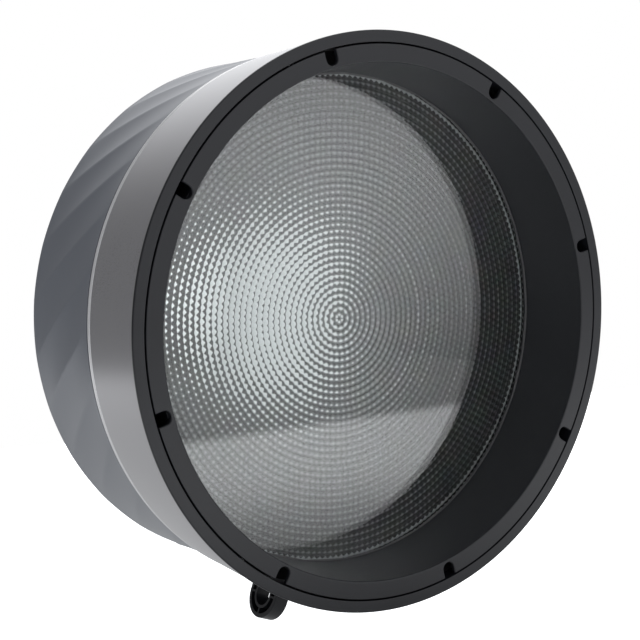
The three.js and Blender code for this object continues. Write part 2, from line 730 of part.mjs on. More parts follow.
// The eye stands on a foot that reaches to one side only. Its underside follows the band.
function tiltKnuckle() {
  const { left, right, length, top } = KNUCKLE_FOOT;
  const half = KNUCKLE_WIDTH / 2;
  const base = 141;
  const centreY = yAt(KNUCKLE_DEPTH);
  const foot = new THREE.BoxGeometry(right - left, length, top - base);
  foot.translate((left + right) / 2, centreY, -(top + base) / 2);
  const neck = new THREE.BoxGeometry(KNUCKLE_WIDTH, 2 * KNUCKLE_RADIUS, KNUCKLE_CENTRE_RADIUS - base);
  neck.translate(0, centreY, -(KNUCKLE_CENTRE_RADIUS + base) / 2);
  const solidEye = join(foot, neck, crossRod(KNUCKLE_RADIUS, -half, half, 32));
  const reach = KNUCKLE_RADIUS + 2;
  const bandSurface = revolve([
    [0, KNUCKLE_DEPTH - reach],
    [bandRadiusAt(KNUCKLE_DEPTH - reach) + GAP, KNUCKLE_DEPTH - reach],
    [bandRadiusAt(KNUCKLE_DEPTH + reach) + GAP, KNUCKLE_DEPTH + reach],
    [0, KNUCKLE_DEPTH + reach],
  ]);
  const bore = crossRod(KNUCKLE_BORE_RADIUS, -half - 1, half + 1, 24);
  const screwHoles = [-1, 1].map((side) => knuckleScrewRod(1.9, 140, top + 2, side));
  const cored = solidEye.subtract(knuckleCore());
  return swung(toGeometry(cut(cored, [bore, bandSurface, ...screwHoles])));
}

function knuckleScrew(side) {
  const headInner = KNUCKLE_FOOT.top + GAP;
  const head = knuckleScrewRod(3.2, headInner, headInner + 1.7, side);
  const shank = knuckleScrewRod(1.5, 143.3, headInner + GAP, side);
  return swung(toGeometry(join(head, shank)));
}

// ---------------------------------------------------------------- assembly

addPiece("outer_rim", "blackPlastic", outerRim());
addPiece("glare_hood", "blackPlastic", glareHood());
notchAngles.forEach((angle, index) => addPiece(`hood_screw_${index + 1}`, "steel", hoodScrew(angle)));
addPiece("front_housing", "gunmetal", frontHousing());
addPiece("seam_bead", "trim", seamBead());
addPiece("rear_shell", "shellMetal", rearShell());
addPiece("rear_cover", "blackPlastic", rearCover());
PILLAR_ANGLES.forEach((angle, index) => addPiece(`cover_screw_${index + 1}`, "steel", coverScrew(angle)));

const glassRear = GLASS_FRONT + GLASS_THICKNESS;
const lensFront = glassRear + 0.2;
addPiece("front_glass", "glass", rod(GLASS_RADIUS, GLASS_FRONT, glassRear, {}, SMALL_RING_SEGMENTS));
addPiece(
  "prism_lens",
  "prism",
  rod(GLASS_RADIUS, lensFront, lensFront + LENS_THICKNESS, {}, SMALL_RING_SEGMENTS),
);
const lensRear = lensFront + LENS_THICKNESS;
addPiece("glass_gasket", "rubber", gasket(GLASS_GASKET_INNER_RADIUS, HOOD_DEPTH, GLASS_FRONT));
addPiece("lens_gasket", "rubber", gasket(LENS_GASKET_INNER_RADIUS, lensRear, seatFront));
addPiece("housing_seal", "rubber", ring(SPIGOT_RADIUS + 0.05, SHELL_INNER_RADIUS - 0.1, 60, 63));

addPiece("reflector", "reflector", reflector());
addPiece("led_emitter", "phosphor", rod(13, 89.8, 90.7, {}, 24));
addPiece("led_board", "aluminium", block(40, 40, 91, 92.4));
addPiece("led_holder", "whitePlastic", ledHolder());
addPiece("heat_spreader", "copper", rod(29, CHASSIS_FRONT, HEATSINK_FRONT - GAP, {}, 24));
addPiece("chassis_plate", "aluminium", chassisPlate());
addPiece("heatsink", "aluminium", heatsink());
PILLAR_ANGLES.forEach((angle, index) => {
  addPiece(`standoff_${index + 1}`, "steel", standoff(angle));
  addPiece(`pillar_${index + 1}`, "steel", pillar(angle));
});

addPiece("fan_frame", "fanPlastic", fanFrame());
addPiece("fan_rotor", "fanPlastic", fanRotor());
fanCorners.forEach((place, index) => addPiece(`fan_screw_${index + 1}`, "steel", fanScrew(place)));

addPiece("driver_case", "aluminium", driverCase());
addPiece("driver_lid", "aluminium", driverLid());
for (const [name, { material, radius, stops }] of Object.entries(WIRES)) {
  addPiece(name, material, wire(radius, stops));
}

addPiece("power_inlet", "steel", powerInlet());
addPiece("inlet_insert", "blackPlastic", inletInsert());
addPiece("dimmer_body", "steel", dimmerBody());
addPiece("dimmer_shaft", "steel", dimmerShaft());
addPiece("dimmer_knob", "blackPlastic", dimmerKnob());

addPiece("tilt_knuckle", "blackPlastic", tiltKnuckle());
[-1, 1].forEach((side, index) => addPiece(`knuckle_screw_${index + 1}`, "steel", knuckleScrew(side)));

export default lamp;
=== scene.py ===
"""Looks of a round LED grow lamp head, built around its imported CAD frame.

Lengths are metres in the frame of the CAD: the lamp's axis is Y, the light leaves towards -Y,
the origin is the centre of the flat pad on the back and +Z is up. Angles go from +X towards +Z.
"""

import json
import math

import bmesh
import bpy
import numpy as np
from mathutils import Matrix, Vector


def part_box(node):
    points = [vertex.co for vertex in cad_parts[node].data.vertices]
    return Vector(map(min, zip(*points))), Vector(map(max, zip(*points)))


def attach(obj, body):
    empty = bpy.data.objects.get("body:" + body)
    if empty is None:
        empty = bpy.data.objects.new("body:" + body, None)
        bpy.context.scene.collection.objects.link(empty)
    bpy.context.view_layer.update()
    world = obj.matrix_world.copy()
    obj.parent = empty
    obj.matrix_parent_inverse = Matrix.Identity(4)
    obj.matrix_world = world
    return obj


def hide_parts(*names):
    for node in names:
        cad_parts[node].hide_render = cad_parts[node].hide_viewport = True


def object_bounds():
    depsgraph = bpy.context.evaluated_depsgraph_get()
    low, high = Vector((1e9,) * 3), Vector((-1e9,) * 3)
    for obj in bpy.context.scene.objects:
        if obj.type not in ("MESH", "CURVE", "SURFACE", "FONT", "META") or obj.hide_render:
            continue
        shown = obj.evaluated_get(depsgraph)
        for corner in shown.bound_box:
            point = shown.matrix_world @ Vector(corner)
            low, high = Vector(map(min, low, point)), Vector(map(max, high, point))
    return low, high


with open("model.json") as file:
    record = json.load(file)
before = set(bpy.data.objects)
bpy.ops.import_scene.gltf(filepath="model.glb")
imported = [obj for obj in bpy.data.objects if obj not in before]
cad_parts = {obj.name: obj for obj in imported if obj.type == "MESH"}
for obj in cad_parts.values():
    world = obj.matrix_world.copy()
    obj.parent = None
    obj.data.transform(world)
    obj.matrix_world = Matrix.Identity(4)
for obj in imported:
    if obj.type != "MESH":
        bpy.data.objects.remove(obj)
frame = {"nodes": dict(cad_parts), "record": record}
CAD_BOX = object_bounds()
NODES = frame["nodes"]
RECORD = frame["record"]

MM = 0.001

# ------ dimensions from the frame


def front_of(node):
    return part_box(node)[0].y


def rear_of(node):
    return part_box(node)[1].y


def radius_of(node):
    """Outer radius of a piece that is turned about the lamp's axis."""
    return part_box(node)[1].x


def centre_of(node):
    low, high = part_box(node)
    return (low + high) / 2


def place_of(entry):
    return Vector(entry["pos_m"])


def numbered(stem):
    """Nodes stem_1, stem_2 and so on."""
    return sorted(name for name in NODES if name.startswith(stem + "_"))


def entry_named(entries, name):
    return next(entry for entry in entries if entry["name"] == name)


RIM_RADIUS = radius_of("outer_rim")
LAMP_FRONT = front_of("outer_rim")
FLANGE_RADIUS = radius_of("glare_hood")
RIM_GAP = 0.9 * MM
NOTCH_COUNT = len(numbered("hood_screw"))
first_notch = centre_of("hood_screw_1")
NOTCH_ANGLE = math.atan2(first_notch.z, first_notch.x)
NOTCH_RADIUS = math.hypot(first_notch.x, first_notch.z)
BAND_REAR_RADIUS = radius_of("seam_bead")
BAND_REAR = front_of("seam_bead") - 0.5 * MM

# Sizes that the frame's boxes don't hold
HOOD_MOUTH_RADIUS = 133.7 * MM
HOOD_THROAT_RADIUS = 131.6 * MM
HOOD_WALL = 2.2 * MM
FLANGE_THICKNESS = 2.4 * MM
NOTCH_WIDTH = 7 * MM
BAND_WALL = 2.3 * MM
SPIGOT_RADIUS = 140.9 * MM
SPIGOT_WALL = 2.2 * MM
SEAT_RADIUS = 129.8 * MM
BEAD_GAP = 0.6 * MM
FLUTE_COUNT = 30
FLUTE_DEPTH = 0.8 * MM
FLUTE_TWIST = math.radians(20)
SHELL_TAPER = 1.5 * MM
SHELL_CORNER = 4 * MM
SHELL_LIP = 2.5 * MM
SHELL_INNER_RADII = (141.2 * MM, 140.6 * MM)
SHELL_OPENING_RADIUS = 128.5 * MM
COVER_WALL = 2.5 * MM
COVER_PLATE_REAR = -8 * MM
COVER_RIM_RADIUS = 125 * MM
COVER_SCREW_HOLE = 2 * MM
PAD_RADIUS = 62 * MM
INTAKE = {"count": 20, "width": 4.2 * MM, "inner": 26 * MM, "outer": 55 * MM}
EXHAUST = {"count": 24, "width": 4 * MM, "inner": 101 * MM, "outer": 119 * MM}
INLET_HOLE = 11.4 * MM
DIMMER_HOLE = 4.8 * MM
LIP = 0.4 * MM

# The power inlet: its body, collar and socket are narrower than its flange by these steps
INLET_STEPS = (3 * MM, 4 * MM, 6 * MM)
INLET_BORE = 7.2 * MM
DISC_RADIUS = 6.9 * MM
CONTACT_RADIUS = 1 * MM
CONTACT_HOLE = 1.02 * MM
CONTACT_CIRCLE = 3.6 * MM
CONTACT_REACH = 8 * MM
DISC_REAR = rear_of("inlet_insert") - CONTACT_REACH

# Screws: radius and height of the head, radius and length of the shank below it
HOOD_SCREW = (2.9 * MM, 2.6 * MM, 1.45 * MM, 9.5 * MM)
COVER_SCREW = (3.6 * MM, 2.4 * MM, 1.6 * MM, 12.7 * MM)
KNUCKLE_SCREW = (3.2 * MM, 1.7 * MM, 1.5 * MM, 6.4 * MM)

# The dimmer: the knob turns on its joint, from the off mark through the joint's range
DIMMER_JOINT = entry_named(RECORD["behaviour"]["joints"], "dimmer_turn")
DIMMER_PLACE = place_of(DIMMER_JOINT)
DIMMER_OFF_ANGLE = math.radians(315)
DIMMER_RANGE = math.radians(DIMMER_JOINT["range_deg"][1])
DIMMER_SHAFT_HOLE = 3.35 * MM
KNOB_RADII = (10.5 * MM, 9.9 * MM)
KNOB_CAP = 1.5 * MM
GRIPS = 12
GRIP_CIRCLE = 11.2 * MM
GRIP_RADIUS = 1.5 * MM
DIAL_TICKS = 11
DIAL_RADIUS = 12.4 * MM
SHORT_TICK, LONG_TICK = 2 * MM, 3.2 * MM

# The tilt knuckle: its bore is parallel to the plain cheek's axis
KNUCKLE_CHEEK = entry_named(RECORD["mounts"], "knuckle_plain_cheek")
KNUCKLE_ACROSS = Vector(KNUCKLE_CHEEK["axis"]).normalized()
KNUCKLE_UP = Vector((KNUCKLE_ACROSS.z, 0, -KNUCKLE_ACROSS.x))
bore_low, bore_high = entry_named(RECORD["physics"]["openings"], "tilt_bore")["box_m"]
KNUCKLE_CENTRE = (Vector(bore_low) + Vector(bore_high)) / 2
KNUCKLE_HEIGHT = KNUCKLE_CENTRE.dot(KNUCKLE_UP)
KNUCKLE_HALF = abs((place_of(KNUCKLE_CHEEK) - KNUCKLE_CENTRE).dot(KNUCKLE_ACROSS))
KNUCKLE_RADIUS = 12.5 * MM
KNUCKLE_BORE = 5.9 * MM
KNUCKLE_CORE = (7.4 * MM, 10.3 * MM)
KNUCKLE_WEB = 1.8 * MM
KNUCKLE_RIB = 1 * MM
KNUCKLE_BASE = 141 * MM
KNUCKLE_FOOT_TOP = 149.4 * MM
KNUCKLE_FOOT_REACH = 19 * MM
KNUCKLE_FOOT_LENGTH = 20 * MM
KNUCKLE_SCREW_OFFSET = 13 * MM
KNUCKLE_SCREW_SPACING = 12 * MM

# The fan: seven twisted blades, from root to tip
FAN_BLADES = 7
FAN_HUB_RADIUS = 19.5 * MM
BLADE_RADII = (17 * MM, 55.8 * MM)
BLADE_CHORDS = (17 * MM, 23 * MM)
BLADE_PITCHES = (math.radians(42), math.radians(28))
BLADE_THICKNESS = 1.8 * MM
BLADE_HOLLOW = 1.1 * MM
BLADE_SETBACK = 0.5 * MM
BLADE_SWEEP = 0.22

# The lens: rings of cells. VIEW_LEAN is how far the main line of sight moves sideways for each
# unit of depth.
RING_PITCH = 3.5 * MM
CELL_PITCH = 3.6 * MM
# Painted glow of the bowl: drawn as if BOWL_DEPTH behind the cells, fading over BOWL_GLOW.
BOWL_DEPTH = 40 * MM
BOWL_GLOW = (8 * MM, 95 * MM)
RIM_CELLS_RADIUS = 37 * RING_PITCH
VIEW_LEAN = 0.69

RING_SEGMENTS = 360
SHARP_ANGLE = math.radians(38)

# ------ mesh helpers


def linked(name, data):
    piece = bpy.data.objects.new(name, data)
    bpy.context.scene.collection.objects.link(piece)
    return piece


def object_of(name, body):
    """An object from a bmesh, which is freed."""
    mesh = bpy.data.meshes.new(name)
    body.to_mesh(mesh)
    body.free()
    return linked(name, mesh)


def object_from(name, vertices, faces):
    """An object from points and faces, with every face turned outwards."""
    mesh = bpy.data.meshes.new(name)
    mesh.from_pydata([tuple(v) for v in vertices], [], [tuple(f) for f in faces])
    body = bmesh.new()
    body.from_mesh(mesh)
    bmesh.ops.recalc_face_normals(body, faces=body.faces)
    body.to_mesh(mesh)
    body.free()
    return linked(name, mesh)


def smooth(piece, angle=SHARP_ANGLE):
    """Smooth shading that keeps sharp edges sharp and large flat faces truly flat."""
    piece.data.shade_smooth()
    piece.data.set_sharp_from_angle(angle=angle)
    normals = piece.modifiers.new("normals", "WEIGHTED_NORMAL")
    normals.keep_sharp = True
    return piece


def rounded(corners, steps=4):
    """An outline from (a, b, fillet) corners, closed on itself, with each corner rounded."""
    outline = []
    count = len(corners)
    for index, (a, b, fillet) in enumerate(corners):
        point = Vector((a, b))
        if fillet == 0:
            outline.append(point)
            continue
        before = Vector(corners[index - 1][:2]) - point
        after = Vector(corners[(index + 1) % count][:2]) - point
        reach = min(fillet, before.length * 0.49, after.length * 0.49)
        start = point + before.normalized() * reach
        end = point + after.normalized() * reach
        for step in range(steps + 1):
            t = step / steps
            outline.append(start * (1 - t) ** 2 + point * 2 * t * (1 - t) + end * t ** 2)
    return outline


def revolved(name, outline, segments=RING_SEGMENTS, centre=(0, 0), change=None):
    """A body turned about a line parallel to Y, from a closed (radius, y) outline. Points on
    the axis become single vertices. change(angles, radius, y) may return new angles and radii."""
    angles = np.linspace(0, 2 * math.pi, segments, endpoint=False)
    vertices, rings = [], []
    for radius, y in outline:
        if radius < 1e-7:
            rings.append([len(vertices)])
            vertices.append((centre[0], y, centre[1]))
            continue
        turn, radii = angles, np.full(segments, radius)
        if change:
            turn, radii = change(angles, radius, y)
        rings.append(range(len(vertices), len(vertices) + segments))
        xs = centre[0] + radii * np.cos(turn)
        zs = centre[1] + radii * np.sin(turn)
        vertices.extend(zip(xs, [y] * segments, zs))
    faces = []
    for first, second in zip(rings, rings[1:] + rings[:1]):
        if len(first) == 1 and len(second) == 1:
            continue
        for k in range(segments):
            n = (k + 1) % segments
            corners = (first[k % len(first)], first[n % len(first)])
            corners += (second[n % len(second)], second[k % len(second)])
            faces.append(list(dict.fromkeys(corners)))
    return object_from(name, vertices, faces)


def box_piece(name, size, centre, bevel=0.0, segments=2):
    body = bmesh.new()
    bmesh.ops.create_cube(body, size=1)
    bmesh.ops.scale(body, vec=size, verts=body.verts)
    bmesh.ops.translate(body, vec=centre, verts=body.verts)
    if bevel:
        bmesh.ops.bevel(
            body, geom=body.edges[:], offset=bevel, segments=segments, profile=0.7, affect="EDGES"
        )
    return object_of(name, body)


def lofted(name, rows):
    """A body through rows of equally many points, closed by a face at both ends."""
    count = len(rows[0])
    vertices = [point for row in rows for point in row]
    last = (len(rows) - 1) * count
    faces = [range(count), range(last + count - 1, last - 1, -1)]
    for start in range(0, last, count):
        for k in range(count):
            n = (k + 1) % count
            faces.append((start + k, start + n, start + count + n, start + count + k))
    return object_from(name, vertices, faces)


def slot_outline(inner, outer, width, steps=8):
    """A round-ended slot along +X between two radii."""
    half = width / 2
    outline = []
    for middle, first in ((outer - half, -math.pi / 2), (inner + half, math.pi / 2)):
        for k in range(steps + 1):
            a = first + math.pi * k / steps
            outline.append((middle + half * math.cos(a), half * math.sin(a)))
    return outline


def turned_outline(outline, angle):
    c, s = math.cos(angle), math.sin(angle)
    return [(x * c - z * s, x * s + z * c) for x, z in outline]


def slot_tool(inner, outer, width, angle, deep, surface):
    """Cuts a radial slot from y = deep out through y = surface, where it leaves a chamfer."""
    step = math.copysign(LIP, surface - deep)
    rows = []
    for y, wider in ((deep, 0), (surface - step, 0), (surface + step, 2 * LIP)):
        outline = slot_outline(inner - wider, outer + wider, width + 2 * wider)
        rows.append([(x, y, z) for x, z in turned_outline(outline, angle)])
    return lofted("tool", rows)


def hole_tool(radius, centre, deep, surface):
    """Cuts a round hole from y = deep out through y = surface, where it leaves a chamfer."""
    step = math.copysign(LIP, surface - deep)
    outline = [(0, deep), (radius, deep), (radius, surface - step)]
    outline += [(radius + 2 * LIP, surface + step), (0, surface + step)]
    return revolved("tool", outline, 48, centre)


def joined(name, pieces):
    """One mesh object from several, for cutting tools and for bodies fixed to each other."""
    body = bmesh.new()
    for piece in pieces:
        body.from_mesh(piece.data)
        bpy.data.objects.remove(piece)
    return object_of(name, body)


def applied(piece):
    """Turns a piece's modifiers into mesh."""
    shape = piece.evaluated_get(bpy.context.evaluated_depsgraph_get())
    mesh = bpy.data.meshes.new_from_object(shape)
    mesh.name = piece.name
    piece.modifiers.clear()
    piece.data = mesh
    return piece


def combined(piece, tool, operation):
    change = piece.modifiers.new(operation, "BOOLEAN")
    change.operation = operation
    change.solver = "EXACT"
    change.object = tool
    applied(piece)
    bpy.data.objects.remove(tool)
    return piece


def cut(piece, tools):
    return combined(piece, joined("tool", tools), "DIFFERENCE")


def fused(piece, others):
    for other in others:
        combined(piece, other, "UNION")
    return piece


def softened(piece, width, segments=2):
    bevel = piece.modifiers.new("edges", "BEVEL")
    bevel.width = width
    bevel.segments = segments
    bevel.limit_method = "ANGLE"
    bevel.angle_limit = math.radians(40)
    return applied(piece)


def evenly(count, first=0.0):
    return [first + 2 * math.pi * k / count for k in range(count)]


def placed(piece, matrix):
    piece.data.transform(matrix)
    return piece


def around_axis(angle):
    """A turn from +X towards +Z about the lamp's axis."""
    return Matrix.Rotation(-angle, 4, "Y")


def add_piece(piece, slot, *nodes, body="head"):
    """Gives a finished piece its body and the material of its slot, and hides the nodes it stands
    for.
    """
    piece.data.materials.clear()
    piece.data.materials.append(MATERIALS[slot])
    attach(piece, body)
    if nodes:
        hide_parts(*nodes)


# ------ material helpers


class Graph:
    """A small wrapper round a node tree, so that a material reads from top to bottom."""

    def __init__(self, tree):
        self.tree = tree
        self.tree.nodes.clear()

    def add(self, kind, inputs=None, **settings):
        """A node with its inputs, by name or number, set to values or linked to sockets."""
        made = self.tree.nodes.new("ShaderNode" + kind)
        for name, value in settings.items():
            setattr(made, name, value)
        for name, value in (inputs or {}).items():
            if isinstance(value, bpy.types.NodeSocket):
                self.tree.links.new(value, made.inputs[name])
            else:
                made.inputs[name].default_value = value
        return made

    def mix(self, share, first, second):
        return self.add("Mix", {0: share, 6: first, 7: second}, data_type="RGBA").outputs[2]

    def between(self, value, low, high, source=(0.0, 1.0), **settings):
        limits = {"From Min": source[0], "From Max": source[1], "To Min": low, "To Max": high}
        return self.add("MapRange", {"Value": value, **limits}, **settings).outputs["Result"]

    def smoothly(self, value, source):
        """Goes from 0 to 1 between the two source values, with soft ends."""
        return self.between(value, 0.0, 1.0, source, interpolation_type="SMOOTHSTEP")

    def math(self, operation, first, second=0.0, third=0.0):
        return self.add("Math", {0: first, 1: second, 2: third}, operation=operation).outputs[0]

    def plus(self, first, second):
        return self.math("ADD", first, second)

    def times(self, first, second):
        return self.math("MULTIPLY", first, second)

    def dot(self, first, second):
        made = self.add("VectorMath", {0: first, 1: second}, operation="DOT_PRODUCT")
        return made.outputs["Value"]

    def length(self, vector):
        return self.add("VectorMath", {0: vector}, operation="LENGTH").outputs["Value"]

    def scaled(self, vector, scale):
        return self.add("VectorMath", {0: vector, "Scale": scale}, operation="SCALE").outputs[0]

    def parts(self, vector):
        return self.add("SeparateXYZ", {"Vector": vector}).outputs

    def camera_ray(self):
        return self.add("LightPath").outputs["Is Camera Ray"]

    def place(self, scale=(1.0, 1.0, 1.0)):
        coordinates = self.add("TexCoord").outputs["Object"]
        return self.add("Mapping", {"Vector": coordinates, "Scale": scale}).outputs["Vector"]

    def noise(self, place, scale, detail=2.0, roughness=0.5):
        settings = {"Vector": place, "Scale": scale, "Detail": detail, "Roughness": roughness}
        return self.add("TexNoise", settings).outputs["Fac"]

    def finish(self, surface):
        self.add("OutputMaterial", {"Surface": surface.outputs[0]})


def rgba(color):
    return (*color, 1.0)


def new_material(name):
    material = bpy.data.materials.new(name)
    material.use_nodes = True
    return material, Graph(material.node_tree)


def solid_material(
    name,
    dark,
    light,
    roughness=(0.45, 0.55),
    metallic=0.0,
    specular=0.5,
    grain=2200.0,
    bump=0.02,
    stretch=(1.0, 1.0, 1.0),
    patches=25.0,
):
    """An opaque finish: a fine grain and broad patches vary the colour, roughness and bump."""
    material, graph = new_material(name)
    place = graph.place(stretch)
    fine = graph.noise(place, grain, 3.0, 0.6)
    broad = graph.noise(graph.place(), patches, 3.0, 0.55)
    share = graph.plus(graph.times(fine, 0.45), graph.times(broad, 0.55))
    color = graph.mix(graph.between(share, 0.0, 1.0, (0.3, 0.7)), rgba(dark), rgba(light))
    relief = graph.add("Bump", {"Height": fine, "Strength": 0.5, "Distance": bump * MM})
    surface = graph.add(
        "BsdfPrincipled",
        {
            "Base Color": color,
            "Metallic": metallic,
            "Specular IOR Level": specular,
            "Roughness": graph.between(share, *roughness, (0.25, 0.75)),
            "Normal": relief.outputs["Normal"],
        },
    )
    graph.finish(surface)
    return material


# ------ materials

# Share of light that clear glass reflects, seen head on
GLASS_REFLECTION = 0.043

# The lens's painted light: white highlights, glints and specks painted into the cells' colour over
# a painted glow of the bowl, along the viewer's side of its axis and aside from that line. Each
# pair is where a look starts and where it is full. Cell heights go up to 1 before a cover is added
# to them. Surfaces other than the camera see only WHITE_BOUNCE of the whites. PAINTED_GLOW is their
# emission, a painted glow.
WHITE_ALONG, WHITE_ASIDE = (-55 * MM, 50 * MM), (98 * MM, 22 * MM)
WHITE_COVER = 0.85
WHITE_HEIGHTS = (1.02, 1.12)
WHITE_BOUNCE = 0.25
GLINT_ALONG, GLINT_ASIDE = (-15 * MM, -45 * MM), (75 * MM, 20 * MM)
GLINT_RINGS = (0.45, 0.95)
GLINT_COVER = 0.34
GLINT_HEIGHTS = (1.04, 1.14)
PAINTED_SPECK_HEIGHTS, PAINTED_SPECK_ASIDE = (0.48, 0.88), (10 * MM, 60 * MM)
PAINTED_GLOW_ALONG, PAINTED_GLOW = (60 * MM, 105 * MM), 0.8
CELL_JITTER = 0.05
# Colours of the painted glow of the bowl, of the painted specks and of the painted highlights
PAINTED_BOWL_DARK, PAINTED_BOWL_LIT = (0.014, 0.0145, 0.015), (0.19, 0.193, 0.196)
PAINTED_SPECK_COLOR = (0.17, 0.171, 0.174)
PAINTED_HIGHLIGHT_COLOR = (0.54, 0.547, 0.555)


def make_glass():
    """Thin clear panes: each face reflects by its angle and lets the rest straight through."""
    material, graph = new_material("clear_glass")
    smudge = graph.noise(graph.place(), 14.0, 4.0, 0.6)
    shape = graph.add("NewGeometry").outputs
    facing = graph.dot(shape["Incoming"], shape["Normal"])
    tilt = graph.math("SUBTRACT", 1.0, graph.math("ABSOLUTE", facing))
    grazing = graph.math("POWER", tilt, 5.0)
    share = graph.math("MULTIPLY_ADD", grazing, 1 - GLASS_REFLECTION, GLASS_REFLECTION)
    clear = graph.add("BsdfTransparent", {"Color": (0.97, 0.985, 0.98, 1.0)})
    roughness = graph.between(smudge, 0.0, 0.05, (0.35, 0.75))
    mirror = graph.add("BsdfGlossy", {"Color": (1, 1, 1, 1), "Roughness": roughness})
    graph.finish(graph.add("MixShader", {0: share, 1: clear.outputs[0], 2: mirror.outputs[0]}))
    return material


def cell_pattern(graph, flat):
    """Where a point lies in its prism cell. height is 1 in the middle of the cell and falls
    towards its grooves, more slowly round the ring than across it."""
    radius = graph.length(flat)
    rings = graph.math("DIVIDE", radius, RING_PITCH)
    ring = graph.math("FLOOR", rings)
    across = graph.math("FRACT", rings)
    parts = graph.parts(flat)
    angle = graph.math("ARCTAN2", parts["Z"], parts["X"])
    middle = graph.plus(graph.times(ring, 2.0), 1.0)
    count = graph.math("ROUND", graph.times(middle, math.pi * RING_PITCH / CELL_PITCH))
    count = graph.math("MAXIMUM", count, 6.0)
    turns = graph.times(graph.math("DIVIDE", angle, 2 * math.pi), count)
    half_step = graph.times(graph.math("MODULO", ring, 2.0), 0.5)
    cells = graph.math("SUBTRACT", turns, half_step)
    round_ring = graph.math("FRACT", cells)
    off_middle = graph.math("ABSOLUTE", graph.math("SUBTRACT", round_ring, 0.5))
    ridge = graph.plus(graph.times(off_middle, 0.25), 0.5)
    off_ridge = graph.math("ABSOLUTE", graph.math("SUBTRACT", across, ridge))
    fall = graph.plus(graph.times(off_middle, 0.8), graph.times(off_ridge, 1.5))
    height = graph.math("SUBTRACT", 1.0, fall)
    cell = graph.add("CombineXYZ", {"X": ring, "Y": graph.math("FLOOR", cells)}).outputs[0]
    cell_chance = graph.add("TexWhiteNoise", {"Vector": cell}).outputs["Value"]
    ring_chance = graph.add("TexWhiteNoise", {"W": ring}, noise_dimensions="1D").outputs["Value"]
    return radius, height, cell_chance, ring_chance


def towards_viewer(graph, flat, radius):
    """How far a point lies on the viewer's side of the axis, how far off to one side of that
    line, and the point of the bowl behind it that the viewer sees through it."""
    parts = graph.parts(graph.add("NewGeometry").outputs["Incoming"])
    depth = graph.math("MAXIMUM", graph.math("ABSOLUTE", parts["Y"]), 0.3)
    sideways = graph.math("DIVIDE", parts["X"], depth)
    upwards = graph.math("DIVIDE", parts["Z"], depth)
    lean = graph.add("CombineXYZ", {"X": sideways, "Z": upwards}).outputs[0]
    along = graph.math("DIVIDE", graph.dot(flat, lean), VIEW_LEAN)
    rest = graph.math("SUBTRACT", graph.math("POWER", radius, 2.0), graph.math("POWER", along, 2.0))
    aside = graph.math("SQRT", graph.math("MAXIMUM", rest, 0.0))
    deep = graph.scaled(lean, -BOWL_DEPTH)
    bowl = graph.add("VectorMath", {0: flat, 1: deep}, operation="ADD").outputs[0]
    return along, aside, bowl


def painted_bowl_colour(graph, place, bowl, height):
    """A painted glow of the bowl seen through a cell, with painted shade in the grooves."""
    cloud = graph.noise(place, 30.0, 3.0, 0.6)
    tint = graph.add("TexNoise", {"Vector": place, "Scale": 70.0, "Detail": 2.0}).outputs["Color"]
    uneven = graph.plus(graph.length(bowl), graph.between(cloud, -0.008, 0.008, (0.3, 0.7)))
    glow = graph.math("POWER", graph.between(uneven, 1.0, 0.0, BOWL_GLOW), 1.7)
    body = graph.mix(0.03, graph.mix(glow, rgba(PAINTED_BOWL_DARK), rgba(PAINTED_BOWL_LIT)), tint)
    # Painted shade: darker towards the grooves of each cell.
    return graph.scaled(body, graph.between(height, 0.2, 1.2, (0.0, 0.6)))


def painted_near_highlights(graph, along, aside, raised):
    """Painted highlights: the part of each cell on the viewer's side painted white, for light
    thrown back. raised is their height.
    """
    covered = graph.times(graph.smoothly(along, WHITE_ALONG), graph.smoothly(aside, WHITE_ASIDE))
    cover = graph.times(covered, WHITE_COVER)
    white = graph.smoothly(graph.plus(raised, cover), WHITE_HEIGHTS)
    return graph.times(white, graph.between(graph.camera_ray(), WHITE_BOUNCE, 1.0))


def far_glints(graph, along, aside, raised, ring_chance):
    """Painted glints: dashes of light on some rings, on the side away from the viewer."""
    covered = graph.times(graph.smoothly(along, GLINT_ALONG), graph.smoothly(aside, GLINT_ASIDE))
    glints = graph.times(covered, graph.between(ring_chance, 0.0, GLINT_COVER, GLINT_RINGS))
    return graph.smoothly(graph.plus(raised, glints), GLINT_HEIGHTS)


